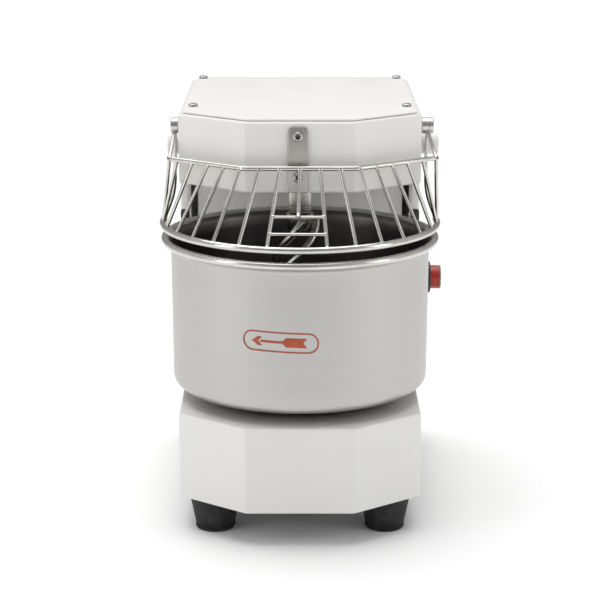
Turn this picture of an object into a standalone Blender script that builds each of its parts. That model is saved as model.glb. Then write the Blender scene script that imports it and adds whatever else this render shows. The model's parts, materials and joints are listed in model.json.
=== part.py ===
"""Benchtop spiral dough mixer: a fixed head over a turning 8 litre bowl, with a hinged wire guard.

Metres, +Z up. The machine's front faces -Y. Inside the functions every place is measured from
the bowl's axis on the bench, and the empty "mixer" then moves the whole machine so that the
middle of its footprint is the origin.
"""

import math

import bmesh
import bpy
from mathutils import Matrix, Vector

# Gaps and sheet metal
GAP = 0.0004
SHEET = 0.0015
MERGE = 0.00001
RUNNING_FIT = 0.0003

# Casing
BODY_HALF = 0.120
FLAT_HALF = 0.053
BASE_FRONT = -0.132
BASE_CORNER_Y = -0.082
BASE_BOTTOM = 0.034
BASE_TOP = 0.1205
HEAD_FRONT = -0.072
HEAD_CORNER_Y = -0.020
HEAD_BOTTOM = 0.3400
HEAD_TOP = 0.4095
COVER_THICK = 0.0020
COVER_INSET = 0.0045
HEAD_FLANGE = 0.020
COLUMN_FRONT = 0.150
COLUMN_BACK = 0.246
BACK_CORNER = 0.016
PANEL_HALF = 0.111
PANEL_SETBACK = 0.007
LID_CORNER = 0.028
LID_SCREWS = ((-0.107, 0.016), (0.107, 0.016), (-0.107, 0.228), (0.107, 0.228))
LID_SCREW_RADIUS = 0.0048
BASE_BORE = 0.0210
HEAD_BORE = 0.0200
DRIVE_BORE = 0.0150
MOTOR_BORE = 0.0120

# Rear cover, the window behind it, and the inlet
WINDOW_HALF = 0.095
WINDOW_LOW = 0.060
WINDOW_HIGH = 0.318
REAR_HALF = 0.103
REAR_LOW = 0.052
REAR_HIGH = 0.326
REAR_SCREWS = ((-0.099, 0.060), (0.099, 0.060), (-0.099, 0.318), (0.099, 0.318))
REAR_SCREW_RADIUS = 0.0032
LOUVRE_HALF = 0.045
LOUVRE_LOW = 0.205
LOUVRE_STEP = 0.012
LOUVRE_OPEN = 0.004
LOUVRE_COUNT = 7
INLET_Z = 0.090
INLET_FLANGE = (0.0250, 0.0145)
INLET_HOLE = (0.0146, 0.0114)
INLET_BODY = (0.0143, 0.0111)
INLET_SOCKET = (0.0120, 0.0080)
INLET_DEPTH = 0.014

# Bowl and its drive
BOWL_RADIUS = 0.130
BOWL_BASE_RADIUS = 0.1292
BOWL_BOTTOM = 0.1325
BOWL_TOP = 0.2860
BOWL_CORNER = 0.010
BOWL_WALL = 0.0015
RIM_RADIUS = 0.1400
RIM_BEAD = 0.0040
TURNTABLE_RADIUS = 0.098
TURNTABLE_HUB = 0.030
BOWL_SHAFT_RADIUS = 0.0125
BOWL_SPROCKET_TEETH = 60
BOWL_SPROCKET_Z = 0.062

# Spiral and its drive
SPIRAL_Y = 0.050
SPIRAL_SHAFT_RADIUS = 0.0122
SPIRAL_JOURNAL = 0.0090
SPIRAL_TOP = 0.2965
HOOK_BAR = 0.0042
HOOK_TOP = 0.2900
HOOK_FOOT = 0.1435
HOOK_COLLAR = 0.0140
HOOK_COLLAR_LOW = 0.2790
HOOK_TWIST_DEG = 359
HOOK_LEAD_DEG = 72
HOOK_START_RADIUS = 0.0164
HOOK_SPREAD = 0.0300
HOOK_FLARE = 0.0206
SPIRAL_SPROCKET_TEETH = 16
SPIRAL_SPROCKET_Z = 0.372
SPIRAL_SHAFT_TOP = 0.384

# Countershaft and motor, in the column
CHAIN_PITCH = 0.00635
CHAIN_THICK = 0.0030
CHAIN_HEIGHT = 0.0055
TOOTH_ROOT = 0.0016
TOOTH_TIP = 0.0014
DRIVE_Y = 0.176
DRIVE_SHAFT_RADIUS = 0.0080
DRIVE_SHAFT_LOW = 0.050
DRIVE_SHAFT_TOP = 0.400
DRIVE_FLANGE = 0.028
LOWER_TEETH = 12
UPPER_TEETH = 26
PULLEY_RADIUS = 0.042
PULLEY_Z = 0.390
PULLEY_WIDTH = 0.010
PULLEY_RIM = 0.0018
RIM_THICK = 0.0012
BELT_THICK = 0.0030
MOTOR_PULLEY_RADIUS = 0.014
MOTOR_X = 0.062
MOTOR_Y = 0.200
MOTOR_RADIUS = 0.037
MOTOR_LOW = 0.150
MOTOR_HIGH = 0.300
MOTOR_SHAFT_RADIUS = 0.0060
MOTOR_SHAFT_TOP = 0.398

# Guard
RING_RADIUS = 0.1380
RING_Y = 0.0015
RING_WIRE = 0.0035
RING_Z = 0.2975
RING_END_DEG = 96
ROD_WIRE = 0.0018
CROSSBAR_WIRE = 0.0016
ARM_WIRE = 0.0019
ROD_COUNT_HALF = 7
ROD_STEP_DEG = 12
ROD_LEAN_DEG = -1.2
ROD_STEP = 0.0194
TOP_WIRE = 0.0024
TOP_WIRE_Z = 0.3664
TOP_WIRE_FRONT = -0.084
TOP_WIRE_FLAT = 0.054
TOP_WIRE_END = (0.134, -0.026)
LEFT_WIRE_SHORTER = 0.0072
CROSSBARS = (0.60, 0.81)
POST_DEG = 90
ARM_FOOT_DEG = 95.2
ARM_BOWS = {0.35: (-0.0038, 0.004), 0.7: (-0.0060, 0.004)}
PIVOT_Y = -0.005
PIVOT_Z = 0.3955
HUB_RADIUS = 0.0080
HUB_LENGTHS = {-1: 0.0078, 1: 0.0120}
PIN_RADIUS = 0.0034
PIN_BORE = 0.0038
STOP_Y = 0.0145
STOP_Z = 0.3745
STOP_RADIUS = 0.0108
STOP_LENGTHS = {-1: 0.0125, 1: 0.0185}

# Feet
FOOT_X = 0.085
FOOT_FRONT_Y = -0.074
FOOT_BACK_Y = 0.205
FOOT_TOP_RADIUS = 0.0250
FOOT_BASE_RADIUS = 0.0198
FOOT_GROOVE = (0.0034, 0.0042, 0.0052, 0.0060)
FOOT_GROOVE_DEPTH = 0.0008
FOOT_RECESS_RADIUS = 0.006
FOOT_RECESS_DEPTH = 0.008

# Side panels and switches
PANEL_OUT = 0.1300
SIDE_FRONT = 0.152
SIDE_BACK = 0.234
SIDE_SPLIT = 0.2780
SIDE_LOW = 0.100
SIDE_HIGH = 0.336
VENT_SLOTS = 3
VENT_SLOT_LOW = 0.1075
VENT_SLOT_STEP = 0.0085
VENT_SLOT_HEIGHT = 0.0040
VENT_SLOT_DEPTH = 0.0050
VENT_MARGIN = 0.0120
SWITCH_Y = 0.176
SWITCH_HEIGHTS = {"stop": 0.1975, "start": 0.1565}
SWITCH_FACES = {"stop": 0.1408, "start": PANEL_OUT}
BEZEL_RADIUS = 0.0176
BEZEL_THICK = 0.0030
BUTTON_RADIUS = 0.0130
BUTTON_BORE = 0.0136
BUTTON_ROOT = 0.0035
BUTTON_WELL = 0.0075
BUTTON_TIPS = {"stop": 0.1560, "start": 0.1370}

# Front strap
STRAP_X = -0.0020
STRAP_HALF = 0.0098
STRAP_THICK = 0.0020
STRAP_TOP = 0.4050
STRAP_LOW = 0.3410
STRAP_SCREWS = {"upper": 0.3955, "lower": 0.3560}
STRAP_SCREW_RADIUS = 0.0050

# Middle of the footprint, from the bowl's axis
INLET_BACK = COLUMN_BACK + 0.0045
CENTRE_X = (BUTTON_TIPS["stop"] - RING_RADIUS - RING_WIRE) / 2
CENTRE_Y = (INLET_BACK + RING_Y - RING_RADIUS - RING_WIRE) / 2


def clear_scene():
    for obj in list(bpy.data.objects):
        bpy.data.objects.remove(obj, do_unlink=True)


def new_collection(name):
    collection = bpy.data.collections.new(name)
    bpy.context.scene.collection.children.link(collection)
    return collection


clear_scene()
PARTS = new_collection("spiral_mixer")
CUTTERS = new_collection("cutters")
MIXER = bpy.data.objects.new("mixer", None)
PARTS.objects.link(MIXER)
MIXER.location = (-CENTRE_X, -CENTRE_Y, 0)


def material(name, colour, roughness, metallic=0.0):
    found = bpy.data.materials.get(name)
    if found:
        return found
    made = bpy.data.materials.new(name)
    made.use_nodes = True
    shader = made.node_tree.nodes["Principled BSDF"]
    shader.inputs["Base Color"].default_value = (*colour, 1)
    shader.inputs["Roughness"].default_value = roughness
    shader.inputs["Metallic"].default_value = metallic
    made.diffuse_color = (*colour, 1)
    return made


def white_paint():
    return material("white_paint", (0.86, 0.86, 0.84), 0.35)


def stainless():
    return material("stainless", (0.62, 0.60, 0.57), 0.28, 1.0)


def plain_steel():
    return material("plain_steel", (0.45, 0.45, 0.46), 0.40, 1.0)


def black_rubber():
    return material("black_rubber", (0.025, 0.025, 0.027), 0.75)


def black_plastic():
    return material("black_plastic", (0.03, 0.03, 0.03), 0.45)


def white_nylon():
    return material("white_nylon", (0.88, 0.88, 0.86), 0.5)


def add(obj, finish, at=(0, 0, 0)):
    """Puts a finished object with the parts, on the machine's empty."""
    PARTS.objects.link(obj)
    obj.data.materials.clear()
    obj.data.materials.append(finish)
    obj.parent = MIXER
    obj.location = at
    if obj.type == "MESH":
        obj.data.shade_smooth()
        obj.data.set_sharp_from_angle(angle=math.radians(35))
    return obj


def as_cutter(obj, at=(0, 0, 0)):
    CUTTERS.objects.link(obj)
    obj.parent = MIXER
    obj.location = at
    obj.hide_render = True
    obj.display_type = "WIRE"
    return obj


def mesh_object(name, bm):
    bmesh.ops.recalc_face_normals(bm, faces=bm.faces)
    mesh = bpy.data.meshes.new(name)
    bm.to_mesh(mesh)
    bm.free()
    return bpy.data.objects.new(name, mesh)


def block(name, low, high):
    """A box between two corners."""
    bm = bmesh.new()
    bmesh.ops.create_cube(bm, size=1)
    size = [b - a for a, b in zip(low, high)]
    middle = [(a + b) / 2 for a, b in zip(low, high)]
    bmesh.ops.scale(bm, vec=size, verts=bm.verts)
    bmesh.ops.translate(bm, vec=middle, verts=bm.verts)
    return mesh_object(name, bm)


def rod(name, start, end, radius, end_radius=None, sides=24):
    """A cylinder or cone between two points."""
    start, end = Vector(start), Vector(end)
    bm = bmesh.new()
    bmesh.ops.create_cone(
        bm,
        cap_ends=True,
        segments=sides,
        radius1=radius,
        radius2=radius if end_radius is None else end_radius,
        depth=(end - start).length,
    )
    turn = (end - start).to_track_quat("Z", "Y").to_matrix().to_4x4()
    bmesh.ops.transform(bm, matrix=Matrix.Translation((start + end) / 2) @ turn, verts=bm.verts)
    return mesh_object(name, bm)


def from_curve(curve_object):
    """The curve as a closed mesh object, its caps welded on."""
    bpy.context.scene.collection.objects.link(curve_object)
    graph = bpy.context.evaluated_depsgraph_get()
    mesh = bpy.data.meshes.new_from_object(curve_object.evaluated_get(graph))
    bm = bmesh.new()
    bm.from_mesh(mesh)
    bmesh.ops.remove_doubles(bm, verts=bm.verts, dist=MERGE)
    name = curve_object.name
    curve_object.name = name + "_curve"
    bpy.data.objects.remove(curve_object, do_unlink=True)
    bpy.data.meshes.remove(mesh)
    return mesh_object(name, bm)


def new_curve(name, points, cyclic, flat):
    curve = bpy.data.curves.new(name, "CURVE")
    curve.dimensions = "2D" if flat else "3D"
    spline = curve.splines.new("POLY")
    spline.points.add(len(points) - 1)
    for point, place in zip(spline.points, points):
        point.co = (*place, 0, 1) if flat else (*place, 1)
    spline.use_cyclic_u = cyclic
    return curve


def plate(name, outline, low, high):
    """A flat outline, seen from above, made solid between two heights."""
    curve = new_curve(name, outline, True, True)
    curve.fill_mode = "BOTH"
    curve.extrude = (high - low) / 2
    solid = from_curve(bpy.data.objects.new(name, curve))
    solid.data.transform(Matrix.Translation((0, 0, (low + high) / 2)))
    return solid


def wire(name, points, radius, cyclic=False, sides=8):
    """A round wire along points, closed at its ends."""
    curve = new_curve(name, points, cyclic, False)
    curve.bevel_depth = radius
    curve.bevel_resolution = sides // 2 - 2
    curve.use_fill_caps = not cyclic
    return from_curve(bpy.data.objects.new(name, curve))


def turned(name, profile, steps=48, closed=True):
    """A profile of (radius, height) points turned about Z. It runs down its outer side first."""
    mesh = bpy.data.meshes.new(name)
    count = len(profile)
    links = [(i, (i + 1) % count) for i in range(count if closed else count - 1)]
    mesh.from_pydata([(r, 0, z) for r, z in profile], links, [])
    obj = bpy.data.objects.new(name, mesh)
    screw = obj.modifiers.new("Turn", "SCREW")
    screw.steps = screw.render_steps = steps
    screw.use_merge_vertices = True
    screw.merge_threshold = MERGE
    return obj


def bevel(obj, width, segments=2, angle=40):
    made = obj.modifiers.new("Edges", "BEVEL")
    made.width = width
    made.segments = segments
    made.limit_method = "ANGLE"
    made.angle_limit = math.radians(angle)
    return obj


def boolean(obj, other, operation):
    made = obj.modifiers.new(operation.title(), "BOOLEAN")
    made.operation = operation
    made.solver = "EXACT"
    made.object = other
    return obj


def cut(obj, *cutters):
    for cutter in cutters:
        boolean(obj, as_cutter(cutter), "DIFFERENCE")
    return obj


def join(obj, *others):
    for other in others:
        boolean(obj, as_cutter(other), "UNION")
    return obj


def arc(centre, radius, start_deg, end_deg, steps):
    """Points round a circle in plan, angles from +X."""
    angles = [math.radians(start_deg + (end_deg - start_deg) * i / steps) for i in range(steps + 1)]
    return [(centre[0] + radius * math.cos(a), centre[1] + radius * math.sin(a)) for a in angles]


def faceted_front(half, flat, front, corner_y, back, back_radius=0.0):
    """The casing's plan: a flat front, a slanting face each side, straight sides and a back."""
    outline = [(-flat, front), (flat, front), (half, corner_y)]
    if back_radius:
        outline += arc((half - back_radius, back - back_radius), back_radius, 0, 90, 5)
        outline += arc((-half + back_radius, back - back_radius), back_radius, 90, 180, 5)
    else:
        outline += [(half, back), (-half, back)]
    outline.append((-half, corner_y))
    return outline


def inset_front(half, flat, front, corner_y, back, by, back_radius=0.0):
    """The same plan drawn in by a distance all round."""
    slope = math.atan2(corner_y - front, half - flat)
    flat_in = flat - by * math.tan(slope / 2)
    corner_in = corner_y + by * math.tan(math.pi / 4 - slope / 2)
    return faceted_front(
        half - by, flat_in, front + by, corner_in, back - by, max(back_radius - by, 0)
    )


def base_casing():
    """Folded sheet box under the bowl, open below and at the back, with a hole for the bowl's shaft."""
    back = COLUMN_FRONT - GAP
    plan = (BODY_HALF, FLAT_HALF, BASE_FRONT, BASE_CORNER_Y, back)
    shell = plate("base_housing", faceted_front(*plan), BASE_BOTTOM, BASE_TOP)
    bevel(shell, 0.0015, 2, 30)
    hollow = plate("base_hollow", inset_front(*plan[:4], back + 0.01, SHEET), 0.02, BASE_TOP - SHEET)
    hole = rod("base_hole", (0, 0, 0.1), (0, 0, 0.14), BASE_BORE, sides=32)
    cut(shell, hollow, hole)
    add(shell, white_paint())
    under = (BODY_HALF, FLAT_HALF, BASE_FRONT, BASE_CORNER_Y, COLUMN_BACK, SHEET + GAP, BACK_CORNER)
    low = BASE_BOTTOM + GAP
    add(plate("base_plate", inset_front(*under), low, low + SHEET), plain_steel())


def column_plan(half, front, back, corner):
    outline = [(-half, front), (half, front)]
    outline += arc((half - corner, back - corner), corner, 0, 90, 5)
    outline += arc((-half + corner, back - corner), corner, 90, 180, 5)
    return outline


def column_casing():
    """Folded sheet column behind the bowl. Its front panel sits back between the side walls."""
    plan = column_plan(BODY_HALF, COLUMN_FRONT, COLUMN_BACK, BACK_CORNER)
    shell = plate("column_housing", plan, BASE_BOTTOM, HEAD_BOTTOM - GAP)
    inside = column_plan(BODY_HALF - SHEET, 0.10, COLUMN_BACK - SHEET, BACK_CORNER - SHEET)
    hollow = plate("column_hollow", inside, 0.0, 0.5)
    window = block("column_window", (-WINDOW_HALF, 0.20, WINDOW_LOW), (WINDOW_HALF, 0.30, WINDOW_HIGH))
    cut(shell, hollow, window)
    add(shell, white_paint())
    front = COLUMN_FRONT + PANEL_SETBACK
    low = (-PANEL_HALF, front, BASE_TOP + 0.004)
    high = (PANEL_HALF, front + SHEET, HEAD_BOTTOM - 0.002)
    add(bevel(block("column_front_panel", low, high), 0.0005, 1), white_paint())


def rear_panel():
    """Removable back cover with louvres, and its four screws."""
    y = COLUMN_BACK + GAP
    cover = block("rear_cover", (-REAR_HALF, y, REAR_LOW), (REAR_HALF, y + SHEET, REAR_HIGH))
    bevel(cover, 0.0004, 1)
    heights = [LOUVRE_LOW + LOUVRE_STEP * n for n in range(LOUVRE_COUNT)]
    slots = [
        block(f"louvre_cut_{i}", (-LOUVRE_HALF, y - 0.01, z), (LOUVRE_HALF, y + 0.01, z + LOUVRE_OPEN))
        for i, z in enumerate(heights)
    ]
    cut(cover, *slots, inlet_block("inlet_cut", INLET_HOLE, y - 0.01, y + 0.01))
    add(cover, white_paint())
    for i, (x, z) in enumerate(REAR_SCREWS):
        pan_screw(f"rear_cover_screw_{i + 1}", (x, y + SHEET + GAP, z), "+Y", REAR_SCREW_RADIUS)


def inlet_block(name, halves, front, back):
    """A block centred on the inlet, by its half width and half height."""
    half_x, half_z = halves
    return block(name, (-half_x, front, INLET_Z - half_z), (half_x, back, INLET_Z + half_z))


def pan_screw(name, at, way, radius, recess_sides=4):
    """A low button head with a recess, its flat underside at the given place."""
    height = radius * 0.55
    profile = [(0, height), (radius * 0.45, height * 0.96), (radius * 0.8, height * 0.7)]
    profile += [(radius, height * 0.15), (radius, 0), (0, 0)]
    head = turned(name, profile, steps=14, closed=False)
    recess_floor, above = (0, 0, height * 0.35), (0, 0, height * 2)
    recess = rod(name + "_recess", recess_floor, above, radius * 0.36, sides=recess_sides)
    boolean(head, as_cutter(recess, at), "DIFFERENCE")
    add(head, stainless(), at)
    turns = {"+Z": (0, 0, 0), "+Y": (-math.pi / 2, 0, 0), "-Y": (math.pi / 2, 0, 0)}
    head.rotation_euler = recess.rotation_euler = turns[way]


def head_casing():
    """The arm over the bowl: a folded box with a flange round its open top, and its screwed lid."""
    plan = (BODY_HALF, FLAT_HALF, HEAD_FRONT, HEAD_CORNER_Y, COLUMN_BACK, BACK_CORNER)
    lid_low = HEAD_TOP
    shell = plate("head_housing", faceted_front(*plan), HEAD_BOTTOM, lid_low - GAP)
    bevel(shell, 0.0018, 2, 30)
    inner = inset_front(*plan[:5], SHEET, plan[5])
    hollow = plate("head_hollow", inner, HEAD_BOTTOM + SHEET, lid_low - GAP - SHEET)
    mouth_plan = inset_front(*plan[:5], HEAD_FLANGE, plan[5] + HEAD_FLANGE)
    mouth = plate("head_mouth", mouth_plan, HEAD_BOTTOM + SHEET * 2, 0.5)
    bore = rod("head_bore", (0, SPIRAL_Y, 0.33), (0, SPIRAL_Y, 0.35), HEAD_BORE, sides=32)
    passage = rod("head_passage", (0, DRIVE_Y, 0.33), (0, DRIVE_Y, 0.35), DRIVE_BORE)
    motor_hole = rod("head_motor_hole", (MOTOR_X, MOTOR_Y, 0.33), (MOTOR_X, MOTOR_Y, 0.35), MOTOR_BORE)
    cut(shell, hollow, mouth, bore, passage, motor_hole)
    add(shell, white_paint())
    lid_plan = inset_front(*plan[:5], COVER_INSET, LID_CORNER)
    lid = plate("head_cover", lid_plan, lid_low, lid_low + COVER_THICK)
    add(bevel(lid, 0.0006, 2, 30), white_paint())
    top = lid_low + COVER_THICK + GAP
    for i, (x, y) in enumerate(LID_SCREWS):
        pan_screw(f"head_cover_screw_{i + 1}", (x, y, top), "+Z", LID_SCREW_RADIUS)


def front_strap():
    """Flat stainless strap down the head's front face, held by two button-head screws."""
    y = HEAD_FRONT - GAP
    strap = block("front_strap", (-STRAP_HALF, y - STRAP_THICK, STRAP_LOW), (STRAP_HALF, y, STRAP_TOP))
    add(bevel(strap, 0.0006, 2), stainless())
    strap.location.x = STRAP_X
    for name, z in STRAP_SCREWS.items():
        at = (STRAP_X, y - STRAP_THICK - GAP, z)
        pan_screw(f"front_strap_screw_{name}", at, "-Y", STRAP_SCREW_RADIUS, 6)


def feet():
    for side, x in (("left", -FOOT_X), ("right", FOOT_X)):
        for end, y in (("front", FOOT_FRONT_Y), ("back", FOOT_BACK_Y)):
            top = BASE_BOTTOM - GAP
            r0, r1 = FOOT_BASE_RADIUS, FOOT_TOP_RADIUS
            slope = (r1 - r0) / top
            lip, groove_low, groove_high, shoulder = FOOT_GROOVE
            groove = r0 - FOOT_GROOVE_DEPTH
            profile = [(0, top), (r1, top), (r0 + shoulder * slope, shoulder)]
            profile += [(groove, groove_high), (groove, groove_low), (r0, lip), (r0 - 0.0012, 0.0)]
            hollow, depth = FOOT_RECESS_RADIUS, FOOT_RECESS_DEPTH
            profile += [(hollow, 0.0), (hollow, depth), (0, depth)]
            foot = turned(f"foot_{end}_{side}", profile, steps=20, closed=False)
            add(foot, black_rubber(), (x, y, 0))


def bowl():
    """Spun steel bowl with a rolled rim, as a closed profile turned about the bowl's axis."""
    wall = BOWL_WALL
    bead = RIM_BEAD
    centre_r = RIM_RADIUS - bead
    centre_z = BOWL_TOP - bead
    outer = []
    for i in range(9):
        a = math.radians(100 - 33.5 * i)
        outer.append((centre_r + bead * math.cos(a), centre_z + bead * math.sin(a)))
    outer.append((BOWL_RADIUS + 0.0004, centre_z - 0.0075))
    outer.append((BOWL_RADIUS, centre_z - 0.012))
    low = BOWL_BOTTOM
    for i in range(5):
        a = math.radians(-90 * i / 4)
        outer.append(
            (
                BOWL_BASE_RADIUS - BOWL_CORNER + BOWL_CORNER * math.cos(a),
                low + BOWL_CORNER + BOWL_CORNER * math.sin(a),
            )
        )
    outer.append((0, low))
    inner = [(0, low + wall)]
    for i in range(4):
        a = math.radians(-90 + 90 * i / 3)
        r = BOWL_CORNER - wall
        inner.append(
            (
                BOWL_BASE_RADIUS - BOWL_CORNER + r * math.cos(a),
                low + BOWL_CORNER + r * math.sin(a),
            )
        )
    inner.append((BOWL_RADIUS - wall, centre_z - 0.008))
    add(turned("bowl", outer + inner, steps=48), stainless())


def bowl_drive():
    """Turntable, shaft, bearing and sprocket under the bowl, and the chain back to the column."""
    top = BOWL_BOTTOM - GAP
    disc, hub = top - 0.008, top - 0.0105
    profile = [(0, top), (TURNTABLE_RADIUS, top), (TURNTABLE_RADIUS, top - 0.006)]
    profile += [(TURNTABLE_RADIUS - 0.008, disc), (TURNTABLE_HUB, disc), (TURNTABLE_HUB, hub), (0, hub)]
    add(turned("turntable", profile, steps=36, closed=False), black_plastic())
    add(rod("bowl_shaft", (0, 0, 0.046), (0, 0, hub - GAP), BOWL_SHAFT_RADIUS), plain_steel())
    flange_top = BASE_TOP - SHEET - GAP
    bearing("bowl_bearing", (0, 0), flange_top, -0.032, BOWL_SHAFT_RADIUS, 0.040)
    sprocket("bowl_sprocket", (0, 0), BOWL_SPROCKET_Z, BOWL_SPROCKET_TEETH, BOWL_SHAFT_RADIUS)


def bearing(name, centre, flange_z, reach, shaft_radius, flange_radius):
    """A flanged bearing housing round a shaft. Its hub reaches up or down from the flange's face."""
    bore = shaft_radius + RUNNING_FIT
    hub = shaft_radius + 0.0075
    way = math.copysign(1, reach)
    steps = [(flange_radius, 0), (flange_radius, 0.004), (hub + 0.002, 0.006), (hub, abs(reach))]
    steps += [(bore, abs(reach)), (bore, 0)]
    if way > 0:
        steps.reverse()
    profile = [(r, flange_z + way * z) for r, z in steps]
    add(turned(name, profile, steps=20), plain_steel(), (*centre, 0))


def pitch_radius(teeth):
    return CHAIN_PITCH / (2 * math.sin(math.pi / teeth))


def sprocket(name, centre, z, teeth, shaft_radius, thick=0.0028):
    """A chain wheel with pointed teeth, and a hub, on its shaft."""
    pitch = pitch_radius(teeth)
    outline = []
    for i in range(teeth):
        for share, radius in ((-0.25, pitch - TOOTH_ROOT), (0.25, pitch + TOOTH_TIP)):
            a = 2 * math.pi * (i + share) / teeth
            outline.append((radius * math.cos(a), radius * math.sin(a)))
    wheel = plate(name, outline, -thick / 2, thick / 2)
    hub_radius = min(shaft_radius + 0.006, pitch - 0.003)
    hub = rod(name + "_hub", (0, 0, -0.006), (0, 0, 0.004), hub_radius)
    bore = rod(name + "_bore", (0, 0, -0.05), (0, 0, 0.05), shaft_radius + RUNNING_FIT)
    boolean(wheel, as_cutter(hub, (*centre, z)), "UNION")
    boolean(wheel, as_cutter(bore, (*centre, z)), "DIFFERENCE")
    add(wheel, plain_steel(), (*centre, z))


def loop_outline(a, radius_a, b, radius_b, steps=20):
    """The outline of a band round two circles in plan."""
    a, b = Vector(a), Vector(b)
    along = b - a
    heading = math.atan2(along.y, along.x)
    lean = math.acos((radius_a - radius_b) / along.length)
    points = []
    for centre, radius, start, sweep in (
        (a, radius_a, heading + lean, 2 * math.pi - 2 * lean),
        (b, radius_b, heading - lean, 2 * lean),
    ):
        for i in range(steps + 1):
            angle = start + sweep * i / steps
            points.append((centre.x + radius * math.cos(angle), centre.y + radius * math.sin(angle)))
    return points


def band(name, a, radius_a, b, radius_b, z, thick, height, finish):
    """A chain or belt as one plain closed band round two wheels."""
    outside = loop_outline(a, radius_a + thick, b, radius_b + thick)
    outer = plate(name, outside, z - height / 2, z + height / 2)
    inner = plate(name + "_cut", loop_outline(a, radius_a, b, radius_b), z - height, z + height)
    cut(outer, inner)
    add(outer, finish)


def chains():
    """The chains from the countershaft to the bowl's sprocket and to the spiral's."""
    drive_at, clear = (0, DRIVE_Y), TOOTH_TIP + GAP * 3
    for name, centre, teeth, drive_teeth, z in (
        ("bowl_chain", (0, 0), BOWL_SPROCKET_TEETH, LOWER_TEETH, BOWL_SPROCKET_Z),
        ("spiral_chain", (0, SPIRAL_Y), SPIRAL_SPROCKET_TEETH, UPPER_TEETH, SPIRAL_SPROCKET_Z),
    ):
        wheel, drive_wheel = pitch_radius(teeth) + clear, pitch_radius(drive_teeth) + clear
        band(name, centre, wheel, drive_at, drive_wheel, z, CHAIN_THICK, CHAIN_HEIGHT, plain_steel())


def hook_strand(share, lead_deg):
    """A point on a strand of the hook, from its top (0) to its foot (1), about the shaft's axis."""
    angle = math.radians(-6 - lead_deg - HOOK_TWIST_DEG * share)
    radius = HOOK_START_RADIUS + HOOK_SPREAD * share + HOOK_FLARE * max(share - 0.25, 0) ** 2
    z = HOOK_TOP + (HOOK_FOOT - HOOK_TOP) * share
    return Vector((radius * math.cos(angle), radius * math.sin(angle), z))


def hook_path(steps, arc_steps, passes):
    """The hook's bar: down one strand, along the arc at its foot, and up the other strand."""
    down = [hook_strand(i / steps, HOOK_LEAD_DEG) for i in range(steps + 1)]
    up = [hook_strand(1 - i / steps, 0) for i in range(steps + 1)]
    across = [hook_strand(1, HOOK_LEAD_DEG * (1 - i / arc_steps)) for i in range(1, arc_steps)]
    path = down + across + up
    for _ in range(passes):
        between = [(a + b * 2 + c) / 4 for a, b, c in zip(path, path[1:], path[2:])]
        path = [path[0]] + between + [path[-1]]
    return [tuple(point) for point in path]


def spiral():
    """The kneading spiral on its shaft, and the bearing and sprocket in the head."""
    step = SPIRAL_SPROCKET_Z - 0.0065
    low, top, radius = SPIRAL_TOP, SPIRAL_SHAFT_TOP, SPIRAL_SHAFT_RADIUS
    profile = [(0, top), (SPIRAL_JOURNAL, top), (SPIRAL_JOURNAL, step), (radius, step)]
    profile += [(radius, low + 0.001), (radius - 0.001, low), (0, low)]
    shaft = turned("spiral_shaft", profile, steps=32, closed=False)
    add(shaft, stainless(), (0, SPIRAL_Y, 0))
    hook = rod("spiral_hook", (0, 0, HOOK_COLLAR_LOW), (0, 0, SPIRAL_TOP - GAP), HOOK_COLLAR, sides=24)
    bar = wire("hook_bar", hook_path(30, 6, 2), HOOK_BAR, sides=8)
    at = (0, SPIRAL_Y, 0)
    boolean(hook, as_cutter(bar, at), "UNION")
    add(hook, stainless(), at)
    on_floor = HEAD_BOTTOM + SHEET + GAP
    bearing("spiral_bearing", (0, SPIRAL_Y), on_floor, 0.020, SPIRAL_SHAFT_RADIUS, 0.036)
    wheel_at, teeth = (0, SPIRAL_Y), SPIRAL_SPROCKET_TEETH
    sprocket("spiral_sprocket", wheel_at, SPIRAL_SPROCKET_Z, teeth, SPIRAL_JOURNAL)


def countershaft():
    """The upright shaft in the column that drives both chains, its bearings and its pulley."""
    at = (0, DRIVE_Y)
    ends = (*at, DRIVE_SHAFT_LOW), (*at, DRIVE_SHAFT_TOP)
    add(rod("drive_shaft", *ends, DRIVE_SHAFT_RADIUS, sides=20), plain_steel())
    sprocket("lower_drive_sprocket", at, BOWL_SPROCKET_Z, LOWER_TEETH, DRIVE_SHAFT_RADIUS)
    sprocket("upper_drive_sprocket", at, SPIRAL_SPROCKET_Z, UPPER_TEETH, DRIVE_SHAFT_RADIUS)
    on_floor = HEAD_BOTTOM + SHEET + GAP
    bearing("drive_bearing_upper", at, on_floor, 0.018, DRIVE_SHAFT_RADIUS, DRIVE_FLANGE)
    on_plate = BASE_BOTTOM + GAP * 2 + SHEET
    bearing("drive_bearing_lower", at, on_plate, 0.017, DRIVE_SHAFT_RADIUS, DRIVE_FLANGE)
    pulley("drive_pulley", at, PULLEY_RADIUS, DRIVE_SHAFT_RADIUS)


def pulley(name, centre, radius, shaft_radius):
    """A flat-belt pulley with a rim each side."""
    half = PULLEY_WIDTH / 2
    bore = shaft_radius + RUNNING_FIT
    rim, seat = radius + PULLEY_RIM, half - RIM_THICK
    profile = [(rim, half), (rim, seat), (radius, seat), (radius, -seat)]
    profile += [(rim, -seat), (rim, -half), (bore, -half), (bore, half)]
    add(turned(name, profile, steps=20), plain_steel(), (*centre, PULLEY_Z))


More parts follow.
